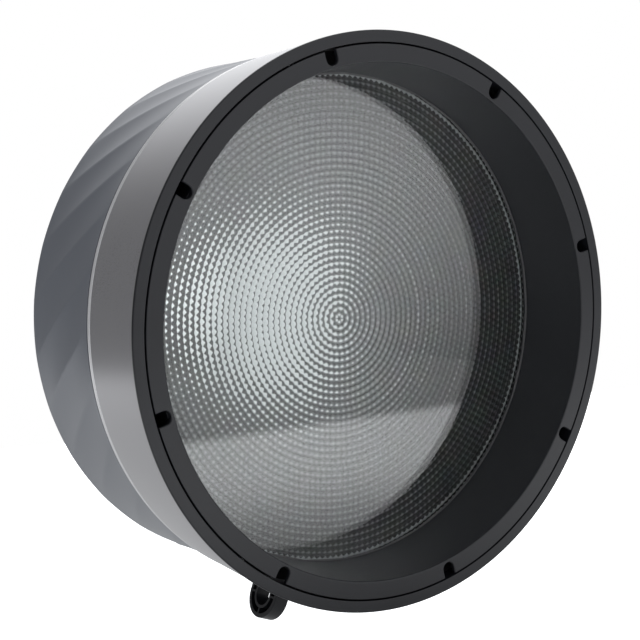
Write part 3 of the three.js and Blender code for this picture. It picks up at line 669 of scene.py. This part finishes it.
def make_prisms():
    """Moulded prisms over a reflector. Part of each cell on the viewer's side is painted white, a
    painted highlight for light thrown back, with a painted glow. The rest shows a painted glow of
    the bowl, which lies some way behind, with painted specks and glints."""
    material, graph = new_material("prism_clear")
    place = graph.place()
    flat = graph.add("VectorMath", {0: place, 1: (1, 0, 1)}, operation="MULTIPLY").outputs[0]
    radius, height, cell_chance, ring_chance = cell_pattern(graph, flat)
    along, aside, bowl = towards_viewer(graph, flat, radius)
    fleck = graph.noise(place, 330.0, 2.0, 0.5)
    jitter = graph.between(cell_chance, -CELL_JITTER, CELL_JITTER)
    raised = graph.plus(height, jitter)

    body = painted_bowl_colour(graph, place, bowl, height)
    # Painted specks of light in the cells, stronger away from the viewer's line.
    painted_speck = graph.smoothly(raised, PAINTED_SPECK_HEIGHTS)
    lively = graph.between(aside, 0.4, 1.0, PAINTED_SPECK_ASIDE)
    body = graph.mix(graph.times(painted_speck, lively), body, rgba(PAINTED_SPECK_COLOR))

    white = painted_near_highlights(graph, along, aside, raised)
    dashes = far_glints(graph, along, aside, raised, ring_chance)
    # Painted highlight: dashes along the outermost ring of cells.
    rim = graph.math("GREATER_THAN", radius, RIM_CELLS_RADIUS)
    rim_dash = graph.times(rim, graph.smoothly(height, (0.3, 0.5)))
    soft = graph.math("MAXIMUM", graph.times(dashes, 0.5), graph.times(rim_dash, 0.6))
    color = graph.mix(graph.math("MAXIMUM", white, soft), body, rgba(PAINTED_HIGHLIGHT_COLOR))

    relief = graph.add("Bump", {"Height": fleck, "Strength": 0.3, "Distance": 0.1 * MM})
    # The whites also glow: a painted emission, strongest far along the viewer's side.
    surface = graph.add(
        "BsdfPrincipled",
        {
            "Base Color": color,
            "Emission Color": (0.95, 0.97, 1.0, 1.0),
            "Emission Strength": graph.times(white, graph.between(along, 0.0, PAINTED_GLOW, PAINTED_GLOW_ALONG)),
            "Roughness": graph.between(fleck, 0.12, 0.26, (0.3, 0.7)),
            "Specular IOR Level": 0.4,
            "Normal": relief.outputs["Normal"],
        },
    )
    graph.finish(surface)
    return material


# Opaque finishes: a darker and a lighter colour, then what sets them apart
FINISHES = {
    "black_plastic": dict(dark=(0.004, 0.0042, 0.0058), light=(0.0075, 0.008, 0.0102),
        roughness=(0.33, 0.41), specular=0.28, grain=1500.0, bump=0.03),
    "band_finish": dict(dark=(0.21, 0.207, 0.217), light=(0.24, 0.236, 0.246),
        roughness=(0.26, 0.31), metallic=0.55, grain=2500.0, bump=0.002, patches=8.0),
    "bead_trim": dict(dark=(0.5, 0.5, 0.51), light=(0.58, 0.58, 0.59),
        roughness=(0.26, 0.34), metallic=0.45, grain=2500.0, bump=0.002),
    "shell_finish": dict(dark=(0.098, 0.106, 0.124), light=(0.119, 0.128, 0.148),
        roughness=(0.36, 0.44), metallic=0.1, specular=0.42, grain=2500.0, bump=0.003, patches=8.0),
    "rubber": dict(dark=(0.05, 0.05, 0.052), light=(0.075, 0.075, 0.077),
        roughness=(0.55, 0.7), grain=1200.0, bump=0.05),
    "reflector_metal": dict(dark=(0.78, 0.78, 0.77), light=(0.88, 0.88, 0.87),
        roughness=(0.12, 0.22), metallic=1.0, grain=500.0, bump=0.01),
    "bare_aluminium": dict(dark=(0.5, 0.51, 0.52), light=(0.66, 0.67, 0.68),
        roughness=(0.3, 0.45), metallic=1.0, grain=700.0, bump=0.02, stretch=(1.0, 1.0, 0.08)),
    "copper": dict(dark=(0.62, 0.33, 0.2), light=(0.78, 0.45, 0.3),
        roughness=(0.25, 0.4), metallic=1.0, grain=500.0),
    "phosphor": dict(dark=(0.62, 0.43, 0.06), light=(0.85, 0.66, 0.14),
        roughness=(0.35, 0.5), grain=900.0),
    "white_plastic": dict(dark=(0.74, 0.73, 0.69), light=(0.82, 0.81, 0.77),
        roughness=(0.4, 0.5)),
    "steel": dict(dark=(0.46, 0.46, 0.47), light=(0.62, 0.62, 0.63),
        roughness=(0.22, 0.38), metallic=1.0, grain=1500.0, bump=0.01),
    "fan_plastic": dict(dark=(0.013, 0.013, 0.014), light=(0.022, 0.022, 0.024),
        roughness=(0.38, 0.5)),
    "wire_red": dict(dark=(0.36, 0.02, 0.015), light=(0.5, 0.04, 0.03),
        roughness=(0.3, 0.45), grain=900.0),
    "wire_black": dict(dark=(0.01, 0.01, 0.011), light=(0.02, 0.02, 0.021),
        roughness=(0.3, 0.45), grain=900.0),
}

MATERIALS = {name: solid_material(name, **finish) for name, finish in FINISHES.items()}
MATERIALS["clear_glass"] = make_glass()
MATERIALS["prism_clear"] = make_prisms()

# ------ front: rim, hood, glass


def outer_rim():
    inner = FLANGE_RADIUS + RIM_GAP
    collar = inner + 2.1 * MM
    edge_rear = LAMP_FRONT + 1.5 * MM
    outline = rounded([
        (inner, LAMP_FRONT, 0.35 * MM),
        (RIM_RADIUS, LAMP_FRONT, 0.7 * MM),
        (RIM_RADIUS, edge_rear, 0.3 * MM),
        (collar, edge_rear, 0),
        (collar, rear_of("outer_rim"), 0.3 * MM),
        (inner, rear_of("outer_rim"), 0.3 * MM),
    ])
    piece = smooth(revolved("outer_rim_fine", outline))
    add_piece(piece, "black_plastic", "outer_rim")


def notch_tool(angle):
    """A round-ended notch that runs out through the flange's edge."""
    inner = NOTCH_RADIUS - NOTCH_WIDTH / 2
    deep = LAMP_FRONT + FLANGE_THICKNESS + 1 * MM
    return slot_tool(inner, FLANGE_RADIUS + NOTCH_WIDTH, NOTCH_WIDTH, angle, deep, LAMP_FRONT)


def glare_hood():
    rear = rear_of("glare_hood")
    foot = rear - 2.9 * MM
    foot_radius = FLANGE_RADIUS - 0.3 * MM
    flange_rear = LAMP_FRONT + FLANGE_THICKNESS
    outline = rounded([
        (HOOD_MOUTH_RADIUS, LAMP_FRONT, 0.9 * MM),
        (FLANGE_RADIUS, LAMP_FRONT, 0.35 * MM),
        (FLANGE_RADIUS, flange_rear, 0),
        (HOOD_MOUTH_RADIUS + HOOD_WALL, flange_rear, 0),
        (HOOD_THROAT_RADIUS + HOOD_WALL, foot, 0),
        (foot_radius, foot, 0),
        (foot_radius, rear, 0.2 * MM),
        (HOOD_THROAT_RADIUS, rear, 0.4 * MM),
    ])
    piece = revolved("glare_hood_fine", outline)
    cut(piece, [notch_tool(angle) for angle in evenly(NOTCH_COUNT, NOTCH_ANGLE)])
    smooth(piece)
    add_piece(piece, "black_plastic", "glare_hood")


def front_glass():
    radius = radius_of("front_glass")
    front, rear = front_of("front_glass"), rear_of("front_glass")
    outline = [(0, front)] + rounded([
        (radius, front, 0.5 * MM),
        (radius, rear, 0.5 * MM),
        (0, rear, 0),
    ])
    piece = smooth(revolved("front_glass_fine", outline, 240))
    add_piece(piece, "clear_glass", "front_glass")


# Prism cells: staggered rings of small pillows that lean outwards, with a groove round each
LEAN_AT_CENTRE = 7
LEAN_AT_EDGE = 21
RADIAL_CURVE = math.tan(math.radians(17))
TANGENT_CURVE = math.tan(math.radians(15))
WALL_SHARE = 0.13
CELL_STEPS = 3


def cell_heights(inner, outer):
    """Radii across a ring of cells and the height of the pillow's crown at each, with the
    groove at height zero."""
    lean = LEAN_AT_CENTRE + (LEAN_AT_EDGE - LEAN_AT_CENTRE) * inner / radius_of("prism_lens")
    slope = math.tan(math.radians(lean))
    length = (outer - inner) * (1 - WALL_SHARE)
    sag = TANGENT_CURVE * CELL_PITCH / 4
    radii, heights = [inner], [0.0]
    for step in range(CELL_STEPS + 1):
        along = length * step / CELL_STEPS
        crown = RADIAL_CURVE * (along - along ** 2 / length)
        radii.append(outer - length + along)
        heights.append(slope * (length - along) + crown + sag)
    return radii, heights


def cell_ring(inner, outer, floor, half_step):
    """The front surface, walls and back of one ring of cells, as vertices and faces."""
    count = max(6, round(math.pi * (inner + outer) / CELL_PITCH))
    width = 2 * math.pi / count
    across = np.arange(count * CELL_STEPS) / CELL_STEPS
    angles = (across + half_step) * width
    droop = TANGENT_CURVE * CELL_PITCH * ((across % 1.0) - 0.5) ** 2
    droop[::CELL_STEPS] = TANGENT_CURVE * CELL_PITCH / 4
    rows = []
    for radius, height in zip(*cell_heights(inner, outer)):
        rise = height - droop if height else 0 * droop
        rows.append((radius, floor - rise))
    back = rear_of("prism_lens") + 0 * droop
    rows += [(outer, back), (inner, back)]
    vertices = []
    for radius, depths in rows:
        vertices.extend(zip(radius * np.cos(angles), depths, radius * np.sin(angles)))
    total, faces = len(angles), []
    for row in range(len(rows)):
        start, following = row * total, (row + 1) % len(rows) * total
        for k in range(total):
            n = (k + 1) % total
            faces.append((start + k, start + n, following + n, following + k))
    return vertices, faces


def prism_lens():
    floor = front_of("prism_lens") + 1.35 * MM
    count = math.floor(radius_of("prism_lens") / RING_PITCH)
    vertices, faces = [], []
    for index in range(count):
        inner = max(index * RING_PITCH, 0.4 * MM)
        ring = cell_ring(inner, (index + 1) * RING_PITCH, floor, 0.5 * (index % 2))
        start = len(vertices)
        vertices.extend(ring[0])
        faces.extend([tuple(start + corner for corner in face) for face in ring[1]])
    cells = object_from("cells", vertices, faces)
    edge_inner = count * RING_PITCH
    border = revolved("border", rounded([
        (edge_inner, floor, 0),
        (radius_of("prism_lens"), floor, 0.3 * MM),
        (radius_of("prism_lens"), rear_of("prism_lens"), 0.3 * MM),
        (edge_inner, rear_of("prism_lens"), 0),
    ]), 240)
    piece = smooth(joined("prism_lens_fine", [cells, border]), math.radians(20))
    add_piece(piece, "prism_clear", "prism_lens")


# ------ drum: band, bead, shell


def front_housing():
    front, front_radius = front_of("front_housing"), radius_of("front_housing")
    seat = rear_of("prism_lens") + 1.1 * MM
    seat_rear = seat + 3 * MM
    spigot_rear = rear_of("front_housing")
    spigot_inner = SPIGOT_RADIUS - SPIGOT_WALL
    outline = rounded([
        (front_radius, front, 0.4 * MM),
        (BAND_REAR_RADIUS, BAND_REAR, 0.7 * MM),
        (SPIGOT_RADIUS, BAND_REAR, 0.3 * MM),
        (SPIGOT_RADIUS, spigot_rear, 0.5 * MM),
        (spigot_inner, spigot_rear, 0.5 * MM),
        (spigot_inner, seat_rear, 0),
        (SEAT_RADIUS, seat_rear, 0.3 * MM),
        (SEAT_RADIUS, seat, 0.3 * MM),
        (BAND_REAR_RADIUS - BAND_WALL, seat, 0),
        (front_radius - BAND_WALL, front, 0.3 * MM),
    ])
    piece = smooth(revolved("front_housing_fine", outline))
    add_piece(piece, "band_finish", "front_housing")


def seam_bead():
    """A half-round bead. The gap behind it stays in its shadow."""
    front, rear = front_of("seam_bead"), rear_of("seam_bead") - BEAD_GAP
    inner, half = SPIGOT_RADIUS + 0.3 * MM, (rear - front) / 2
    crown = []
    for step in range(17):
        angle = math.pi * step / 16
        radius = BAND_REAR_RADIUS - half + half * math.sin(angle)
        crown.append((radius, front + half - half * math.cos(angle)))
    piece = smooth(revolved("seam_bead_fine", [(inner, front), *crown, (inner, rear)]))
    add_piece(piece, "bead_trim", "seam_bead")


def rear_shell():
    """Concave flutes wind round the drum, with a crisp edge between each two."""
    front, rear = front_of("rear_shell"), rear_of("rear_shell")
    front_radius = radius_of("rear_shell")
    rear_radius = front_radius - SHELL_TAPER
    inner_front, inner_rear = SHELL_INNER_RADII
    stations = 44
    wall = []
    for k in range(stations + 1):
        share = k / stations
        y = front + (rear - SHELL_CORNER - front) * share
        wall.append((front_radius + (rear_radius - front_radius) * share, y))
    edge = rounded([
        wall[-1] + (0,),
        (rear_radius, rear, SHELL_CORNER),
        (SHELL_OPENING_RADIUS, rear, 0.5 * MM),
        (SHELL_OPENING_RADIUS, rear - SHELL_LIP, 0),
        (inner_rear, rear - SHELL_LIP, 0),
        (inner_front, front, 0),
    ], 8)
    flat_end = rear_radius - 3.2 * MM

    def fluted(angles, radius, y):
        share = min(max((y - front) / (rear - front), 0.0), 1.0)
        turn = angles + FLUTE_TWIST * share
        if radius < flat_end:
            return turn, np.full(len(angles), radius)
        across = (angles * FLUTE_COUNT / (2 * math.pi)) % 1.0
        fade = math.sin(math.pi * share) ** 0.7
        hollow = 4 * across * (1 - across)
        return turn, radius - FLUTE_DEPTH * fade * hollow

    outline = wall[:-1] + [tuple(point) for point in edge]
    whole = revolved("rear_shell_fine", outline, FLUTE_COUNT * 16, change=fluted)
    piece = smooth(whole, math.radians(30))
    add_piece(piece, "shell_finish", "rear_shell")


# ------ back: cover, controls, fan


def rear_cover():
    """A dished cover. Its middle stands out as the flat pad that the lamp is mounted by."""
    front, pad = front_of("rear_cover"), rear_of("rear_cover")
    ledge, ledge_rear = radius_of("rear_cover"), front + 2.6 * MM
    plate_front = COVER_PLATE_REAR - COVER_WALL
    outline = [(0, pad - COVER_WALL)] + rounded([
        (PAD_RADIUS - 2 * MM, pad - COVER_WALL, 0.5 * MM),
        (PAD_RADIUS + 2 * MM, plate_front, 1 * MM),
        (COVER_RIM_RADIUS - 2 * MM, plate_front, 1 * MM),
        (COVER_RIM_RADIUS + 2 * MM, front, 0),
        (ledge, front, 0.4 * MM),
        (ledge, ledge_rear, 0.6 * MM),
        (COVER_RIM_RADIUS + 4.5 * MM, ledge_rear, 1 * MM),
        (COVER_RIM_RADIUS, COVER_PLATE_REAR, 1.4 * MM),
        (PAD_RADIUS + 4 * MM, COVER_PLATE_REAR, 1 * MM),
        (PAD_RADIUS, pad, 0.8 * MM),
    ]) + [(0, pad)]
    piece = revolved("rear_cover_fine", outline)
    below_pad, below_plate = pad - COVER_WALL - 1 * MM, plate_front - 1 * MM
    tools = []
    for slots, *heights in ((INTAKE, below_pad, pad), (EXHAUST, below_plate, COVER_PLATE_REAR)):
        for angle in evenly(slots["count"]):
            size = (slots["inner"], slots["outer"], slots["width"])
            tools.append(slot_tool(*size, angle, *heights))
    for node, radius in (("power_inlet", INLET_HOLE), ("dimmer_knob", DIMMER_HOLE)):
        centre = centre_of(node)
        tools.append(hole_tool(radius, (centre.x, centre.z), below_plate, COVER_PLATE_REAR))
    for node in numbered("cover_screw"):
        centre = centre_of(node)
        tools.append(hole_tool(COVER_SCREW_HOLE, (centre.x, centre.z), front - 1 * MM, ledge_rear))
    cut(piece, tools)
    smooth(piece)
    add_piece(piece, "black_plastic", "rear_cover")


def screw(node, seat, outwards, sizes):
    """A domed screw with a cross recess, whose head stands on the seat."""
    head_radius, height, shank_radius, length = sizes
    outline = rounded([
        (0, height, 0),
        (head_radius * 0.55, height, 0.8 * height),
        (head_radius, height * 0.45, 0.5 * height),
        (head_radius, 0, 0.15 * MM),
        (shank_radius, 0, 0),
        (shank_radius, -length, 0.4 * MM),
        (0, -length, 0),
    ], 5)
    piece = revolved(node + "_fine", outline, 48)
    across, depth = head_radius * 1.15, height * 0.55
    middle = (0, height - depth / 2 + 0.5 * MM, 0)
    for size in ((across, depth + 1 * MM, 0.8 * MM), (0.8 * MM, depth + 1 * MM, across)):
        cut(piece, [box_piece("tool", size, middle)])
    turn = Vector(outwards).to_track_quat("Y", "Z").to_matrix().to_4x4()
    placed(piece, Matrix.Translation(seat) @ turn)
    smooth(piece)
    add_piece(piece, "steel", node)


def screws():
    for node in numbered("hood_screw"):
        centre = centre_of(node)
        screw(node, (centre.x, front_of(node) + HOOD_SCREW[1], centre.z), (0, -1, 0), HOOD_SCREW)
    for node in numbered("cover_screw"):
        centre = centre_of(node)
        screw(node, (centre.x, rear_of(node) - COVER_SCREW[1], centre.z), (0, 1, 0), COVER_SCREW)
    seat_height = KNUCKLE_FOOT_TOP + 0.3 * MM - KNUCKLE_HEIGHT
    for node, side in zip(numbered("knuckle_screw"), (-1, 1)):
        local = Vector((side * KNUCKLE_SCREW_SPACING / 2, KNUCKLE_SCREW_OFFSET, seat_height))
        screw(node, knuckle_frame() @ local, KNUCKLE_UP, KNUCKLE_SCREW)


def power_inlet():
    front, rear = front_of("power_inlet"), rear_of("power_inlet")
    low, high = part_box("power_inlet")
    centre = centre_of("power_inlet")
    flange = (high.x - low.x) / 2
    body, collar, socket = (flange - step for step in INLET_STEPS)
    outline = rounded([
        (INLET_BORE, front, 0.2 * MM),
        (body, front, 0.4 * MM),
        (body, COVER_PLATE_REAR + 0.3 * MM, 0),
        (flange, COVER_PLATE_REAR + 0.3 * MM, 0.2 * MM),
        (flange, COVER_PLATE_REAR + 2.3 * MM, 0.7 * MM),
        (collar, COVER_PLATE_REAR + 2.3 * MM, 0.4 * MM),
        (collar, rear, 0.6 * MM),
        (socket, rear, 0.4 * MM),
        (socket, DISC_REAR + 0.3 * MM, 0.2 * MM),
        (INLET_BORE, DISC_REAR + 0.3 * MM, 0),
    ])
    piece = smooth(revolved("power_inlet_fine", outline, 96, (centre.x, centre.z)))
    add_piece(piece, "steel", "power_inlet")


def inlet_insert():
    """The insulating disc and its three round-ended contacts."""
    centre = centre_of("power_inlet")
    front, rear = front_of("inlet_insert"), rear_of("inlet_insert")
    disc_front = front + 0.5 * MM
    disc_outline = [(0, disc_front)] + rounded([
        (DISC_RADIUS, disc_front, 0.3 * MM),
        (DISC_RADIUS, DISC_REAR, 0.5 * MM),
    ]) + [(0, DISC_REAR)]
    disc = revolved("inlet_insert_fine", disc_outline, 72, (centre.x, centre.z))
    pins = []
    pin_outline = rounded([
        (0, front, 0),
        (CONTACT_RADIUS, front, 0),
        (CONTACT_RADIUS, rear, 0.8 * MM),
        (0, rear, 0),
    ])
    for angle in evenly(3, math.pi / 2):
        x = centre.x + CONTACT_CIRCLE * math.cos(angle)
        z = centre.z + CONTACT_CIRCLE * math.sin(angle)
        pins.append(revolved("pin", pin_outline, 24, (x, z)))
        cut(disc, [hole_tool(CONTACT_HOLE, (x, z), front - 1 * MM, DISC_REAR)])
    smooth(disc)
    add_piece(disc, "black_plastic", "inlet_insert")
    contacts = smooth(joined("inlet_contacts", pins))
    add_piece(contacts, "steel")


def dimmer_knob():
    """A tapered knob with scalloped grips. It turns on the dimmer's joint."""
    front, rear = front_of("dimmer_knob"), rear_of("dimmer_knob") - 0.2 * MM
    front_radius, rear_radius = KNOB_RADII
    outline = rounded([
        (0, rear - KNOB_CAP, 0),
        (DIMMER_SHAFT_HOLE, rear - KNOB_CAP, 0),
        (DIMMER_SHAFT_HOLE, front, 0.2 * MM),
        (front_radius, front, 0.3 * MM),
        (rear_radius, rear, 1 * MM),
        (0, rear, 0),
    ])
    step = 2 * math.pi / GRIPS

    def scalloped(angles, ring_radius, y):
        off = np.abs((angles + step / 2) % step - step / 2)
        aside = GRIP_CIRCLE * np.sin(off)
        reach = np.sqrt(np.maximum(GRIP_RADIUS ** 2 - aside ** 2, 0))
        surface = np.where(aside < GRIP_RADIUS, GRIP_CIRCLE * np.cos(off) - reach, ring_radius)
        return angles, np.minimum(ring_radius, surface)

    centre = (DIMMER_PLACE.x, DIMMER_PLACE.z)
    piece = revolved("dimmer_knob_fine", outline, GRIPS * 24, centre, scalloped)
    smooth(piece)
    add_piece(piece, "black_plastic", "dimmer_knob", body="dimmer")
    pointer = box_piece("knob_pointer", (8 * MM, 0.5 * MM, 1.4 * MM), (5 * MM, 0, 0), 0.12 * MM)
    lift = Matrix.Translation((DIMMER_PLACE.x, rear - 0.05 * MM, DIMMER_PLACE.z))
    placed(pointer, lift @ around_axis(DIMMER_OFF_ANGLE))
    add_piece(pointer, "white_plastic", body="dimmer")


def dial_marks():
    """Raised ticks on the cover, from the knob's off position through its range."""
    ticks = []
    for k in range(DIAL_TICKS):
        length = SHORT_TICK if k % 5 else LONG_TICK
        size = (length, 0.24 * MM, 0.6 * MM)
        tick = box_piece("tick", size, (DIAL_RADIUS + length / 2, 0.13 * MM, 0), 0.06 * MM, 1)
        angle = DIMMER_OFF_ANGLE + DIMMER_RANGE * k / (DIAL_TICKS - 1)
        lift = Matrix.Translation((DIMMER_PLACE.x, COVER_PLATE_REAR, DIMMER_PLACE.z))
        ticks.append(placed(tick, lift @ around_axis(angle)))
    add_piece(joined("dial_marks", ticks), "white_plastic")


def fan_blade(first_angle, middle):
    """A twisted, slightly hollow blade, wrapped round the fan's axis at each radius."""
    stations, points = 12, 24
    rows = []
    for k in range(stations + 1):
        share = k / stations
        radius, chord, pitch = (
            low + (high - low) * share for low, high in (BLADE_RADII, BLADE_CHORDS, BLADE_PITCHES)
        )
        sweep = first_angle + BLADE_SWEEP * share ** 2
        row = []
        for j in range(points):
            turn = 2 * math.pi * j / points
            along = 0.5 * chord * math.cos(turn)
            hollow = BLADE_HOLLOW * (1 - math.cos(turn) ** 2)
            off = 0.5 * BLADE_THICKNESS * math.sin(turn) + hollow - BLADE_SETBACK
            angle = sweep + (along * math.cos(pitch) + off * math.sin(pitch)) / radius
            y = middle - along * math.sin(pitch) + off * math.cos(pitch)
            row.append((radius * math.cos(angle), y, radius * math.sin(angle)))
        rows.append(row)
    return lofted("blade", rows)


def fan_rotor():
    """The hub, its short shaft and the blades. It spins on the fan's joint."""
    front, rear = front_of("fan_rotor"), rear_of("fan_rotor")
    hub_front = front + 2.4 * MM
    outline = [(0, front)] + rounded([
        (2 * MM, front, 0.3 * MM),
        (2 * MM, hub_front, 0),
        (FAN_HUB_RADIUS, hub_front, 0.5 * MM),
        (FAN_HUB_RADIUS, rear, 1.6 * MM),
    ]) + [(0, rear)]
    piece = revolved("fan_rotor_fine", outline, 120)
    middle = (hub_front + rear) / 2
    fused(piece, [fan_blade(angle, middle) for angle in evenly(FAN_BLADES)])
    smooth(piece)
    add_piece(piece, "fan_plastic", "fan_rotor", body="fan")


# ------ tilt knuckle


def knuckle_frame():
    """Local X runs along the lamp's axis, Y along the bore and Z outwards from the band."""
    columns = Matrix((Vector((0, 1, 0)), KNUCKLE_ACROSS, KNUCKLE_UP)).transposed()
    return Matrix.Translation(KNUCKLE_CENTRE) @ columns.to_4x4()


def band_radius_at(y):
    front = front_of("front_housing")
    share = (y - front) / (BAND_REAR - front)
    return radius_of("front_housing") * (1 - share) + BAND_REAR_RADIUS * share


def knuckle_core():
    """The hollow round the bore. It is open on one side and crossed by four ribs."""
    inner, outer = KNUCKLE_CORE
    low, high = -KNUCKLE_HALF - 1 * MM, KNUCKLE_HALF - KNUCKLE_WEB
    core = revolved("core", [(inner, low), (outer, low), (outer, high), (inner, high)], 120)
    span = 2 * outer + 4 * MM
    for size in ((span, 20 * MM, KNUCKLE_RIB), (KNUCKLE_RIB, 20 * MM, span)):
        cut(core, [box_piece("tool", size, (0, 0, 0))])
    return core


def tilt_knuckle():
    """An eye that stands out of the band on a foot, which is screwed down on one side."""
    half = KNUCKLE_HALF
    base, foot_top = KNUCKLE_BASE - KNUCKLE_HEIGHT, KNUCKLE_FOOT_TOP - KNUCKLE_HEIGHT
    eye = revolved("tilt_knuckle_fine", rounded([
        (0, -half, 0),
        (KNUCKLE_RADIUS, -half, 0.5 * MM),
        (KNUCKLE_RADIUS, half, 0.5 * MM),
        (0, half, 0),
    ]), 120)
    neck = box_piece("neck", (2 * KNUCKLE_RADIUS, 2 * half, -base), (0, 0, base / 2))
    softened(neck, 0.45 * MM)
    reach = KNUCKLE_FOOT_REACH + half
    foot_middle = (0, (KNUCKLE_FOOT_REACH - half) / 2, (base + foot_top) / 2)
    foot = box_piece("foot", (KNUCKLE_FOOT_LENGTH, reach, foot_top - base), foot_middle)
    softened(foot, 0.5 * MM)
    fused(eye, [neck, foot])
    cut(eye, [knuckle_core()])
    low, high = -half - 1 * MM, half + 1 * MM
    bore = [(0, low), (KNUCKLE_BORE, low), (KNUCKLE_BORE, high), (0, high)]
    cut(eye, [revolved("tool", bore, 96)])
    placed(eye, knuckle_frame())
    ends = (KNUCKLE_CENTRE.y - KNUCKLE_RADIUS - 2 * MM, KNUCKLE_CENTRE.y + KNUCKLE_RADIUS + 2 * MM)
    surface = [(band_radius_at(y) + 0.3 * MM, y) for y in ends]
    cut(eye, [revolved("tool", [(0, ends[0]), *surface, (0, ends[1])])])
    smooth(softened(eye, 0.2 * MM))
    add_piece(eye, "black_plastic", "tilt_knuckle")


# ------ stage


def world_lobe(graph, direction, full, edge, strength):
    """Light from round one direction: full inside one angle, gone outside the other."""
    heading = graph.add("NewGeometry").outputs["Incoming"]
    aligned = graph.dot(heading, tuple(-Vector(direction).normalized()))
    limits = (math.cos(math.radians(edge)), math.cos(math.radians(full)))
    return graph.times(graph.smoothly(aligned, limits), strength)


TABLE_LEFT, TABLE_RIGHT = -0.62, 0.9
TABLE_FRONT, TABLE_BACK = -1.3, 0.5
TABLE_GLOW = 1.5

# What the table's light is multiplied by where the lamp reflects it: painted light and shade. It
# is dim under the drum (a painted shadow), bright in front, and dim again past a soft edge that
# runs slightly askew in front of the lamp.
SHADOW_FRONT = -0.1
SHADOW_REACH = (0.12, 0.95)
SHADOW_LIGHT = 0.42
FRONT_REACH = (-0.25, -0.5)
FRONT_LIGHT = 1.5
EDGE_SKEW = 0.18
EDGE_REACH = (-0.63, -0.57)
FAR_LIGHT = 0.36

# Light panels: direction, angle where full, angle where gone, strength
ROOM_LIGHT = 0.3
LIGHT_PANELS = [
    ((0.52, -0.82, 0.25), 8, 26, 2.0),
    ((-0.5, -0.86, 0.1), 20, 45, 0.8),
    ((0.7, 0.58, 0.55), 16, 60, 1.5),
    ((0.1, -0.3, 1.0), 20, 60, 0.5),
]


def make_world():
    world = bpy.data.worlds.new("studio")
    bpy.context.scene.world = world
    world.use_nodes = True
    graph = Graph(world.node_tree)
    total = ROOM_LIGHT
    for panel in LIGHT_PANELS:
        total = graph.plus(world_lobe(graph, *panel), total)
    backdrop = graph.add("Background", {"Color": (1, 1, 1, 1), "Strength": 1.0})
    studio = graph.add("Background", {"Color": (0.97, 0.98, 1.0, 1.0), "Strength": total})
    shaders = {1: studio.outputs[0], 2: backdrop.outputs[0]}
    both = graph.add("MixShader", {0: graph.camera_ray(), **shaders})
    graph.add("OutputWorld", {"Surface": both.outputs[0]})


def painted_table_shading(graph):
    """What the table's light is multiplied by at each place: its painted shadow and light."""
    position = graph.parts(graph.add("NewGeometry").outputs["Position"])
    ahead = graph.math("MAXIMUM", graph.math("SUBTRACT", SHADOW_FRONT, position["Y"]), 0.0)
    outside = graph.plus(graph.times(ahead, 3.0), graph.math("MAXIMUM", position["Y"], 0.0))
    away = graph.add("CombineXYZ", {"X": position["X"], "Y": outside}).outputs[0]
    under = graph.between(graph.smoothly(graph.length(away), SHADOW_REACH), SHADOW_LIGHT, 1.0)
    front = graph.between(graph.smoothly(position["Y"], FRONT_REACH), 1.0, FRONT_LIGHT)
    skewed = graph.math("MULTIPLY_ADD", position["X"], EDGE_SKEW, position["Y"])
    near = graph.between(graph.smoothly(skewed, EDGE_REACH), FAR_LIGHT, 1.0)
    return graph.times(graph.times(under, front), near)


def make_floor():
    """A plain pale table top, which glows enough to look as white as the backdrop. Rays other than
    the camera's see a painted shadow and painted light on it.
    """
    top = CAD_BOX[0].z - 0.3 * MM
    x, y = (TABLE_LEFT + TABLE_RIGHT) / 2, (TABLE_FRONT + TABLE_BACK) / 2
    size = (TABLE_RIGHT - TABLE_LEFT, TABLE_BACK - TABLE_FRONT, 20 * MM)
    floor = box_piece("floor", size, (x, y, top - size[2] / 2), 2 * MM)
    material, graph = new_material("pale_floor")
    grain = graph.noise(graph.place(), 60.0, 4.0, 0.6)
    choice = {0: graph.camera_ray(), 2: painted_table_shading(graph), 3: 1.0}
    light = graph.add("Mix", choice).outputs[0]
    pale = graph.mix(grain, (0.5, 0.5, 0.5, 1), (0.54, 0.54, 0.54, 1))
    matt = graph.add("BsdfDiffuse", {"Color": graph.scaled(pale, light)})
    strength = graph.times(light, TABLE_GLOW)
    glow = graph.add("Emission", {"Color": (0.97, 0.985, 1.0, 1.0), "Strength": strength})
    graph.finish(graph.add("AddShader", {0: matt.outputs[0], 1: glow.outputs[0]}))
    floor.data.materials.append(material)


LAMP_PLACE = (0.2, 0.1, 1.5)
LAMP_SIZE = 1.2
LAMP_POWER = 8


def make_light():
    """One broad soft light overhead, aimed at the middle of the head."""
    data = bpy.data.lights.new("overhead", "AREA")
    data.shape = "DISK"
    data.size = LAMP_SIZE
    data.energy = LAMP_POWER
    lamp = linked("overhead", data)
    lamp.location = LAMP_PLACE
    heading = Vector((0, LAMP_FRONT / 2, 0)) - Vector(LAMP_PLACE)
    lamp.rotation_euler = heading.to_track_quat("-Z", "Y").to_euler()
    lamp.visible_camera = False


CAMERA_PLACE = (-0.4614, -0.7547, 0.0601)
CAMERA_HEADING = (0.5635, 0.8226, -0.0759)
CAMERA_LENS = 83.25


def make_camera():
    data = bpy.data.cameras.new("camera")
    data.lens = CAMERA_LENS
    data.sensor_width = 36
    data.clip_start = 0.02
    camera = linked("camera", data)
    camera.location = CAMERA_PLACE
    camera.rotation_euler = Vector(CAMERA_HEADING).to_track_quat("-Z", "Y").to_euler()
    bpy.context.scene.camera = camera


# ------ build


def dress_frame():
    """Gives every CAD node the material of its slot."""
    for part in RECORD["subparts"]:
        node = NODES[part["node"]]
        node.data.materials.clear()
        node.data.materials.append(MATERIALS[part["material_slot"]])


dress_frame()
outer_rim()
glare_hood()
front_glass()
prism_lens()
front_housing()
seam_bead()
rear_shell()
rear_cover()
screws()
power_inlet()
inlet_insert()
dimmer_knob()
dial_marks()
fan_rotor()
tilt_knuckle()
make_world()
make_floor()
make_light()
make_camera()
bpy.context.scene.view_settings.view_transform = "Standard"
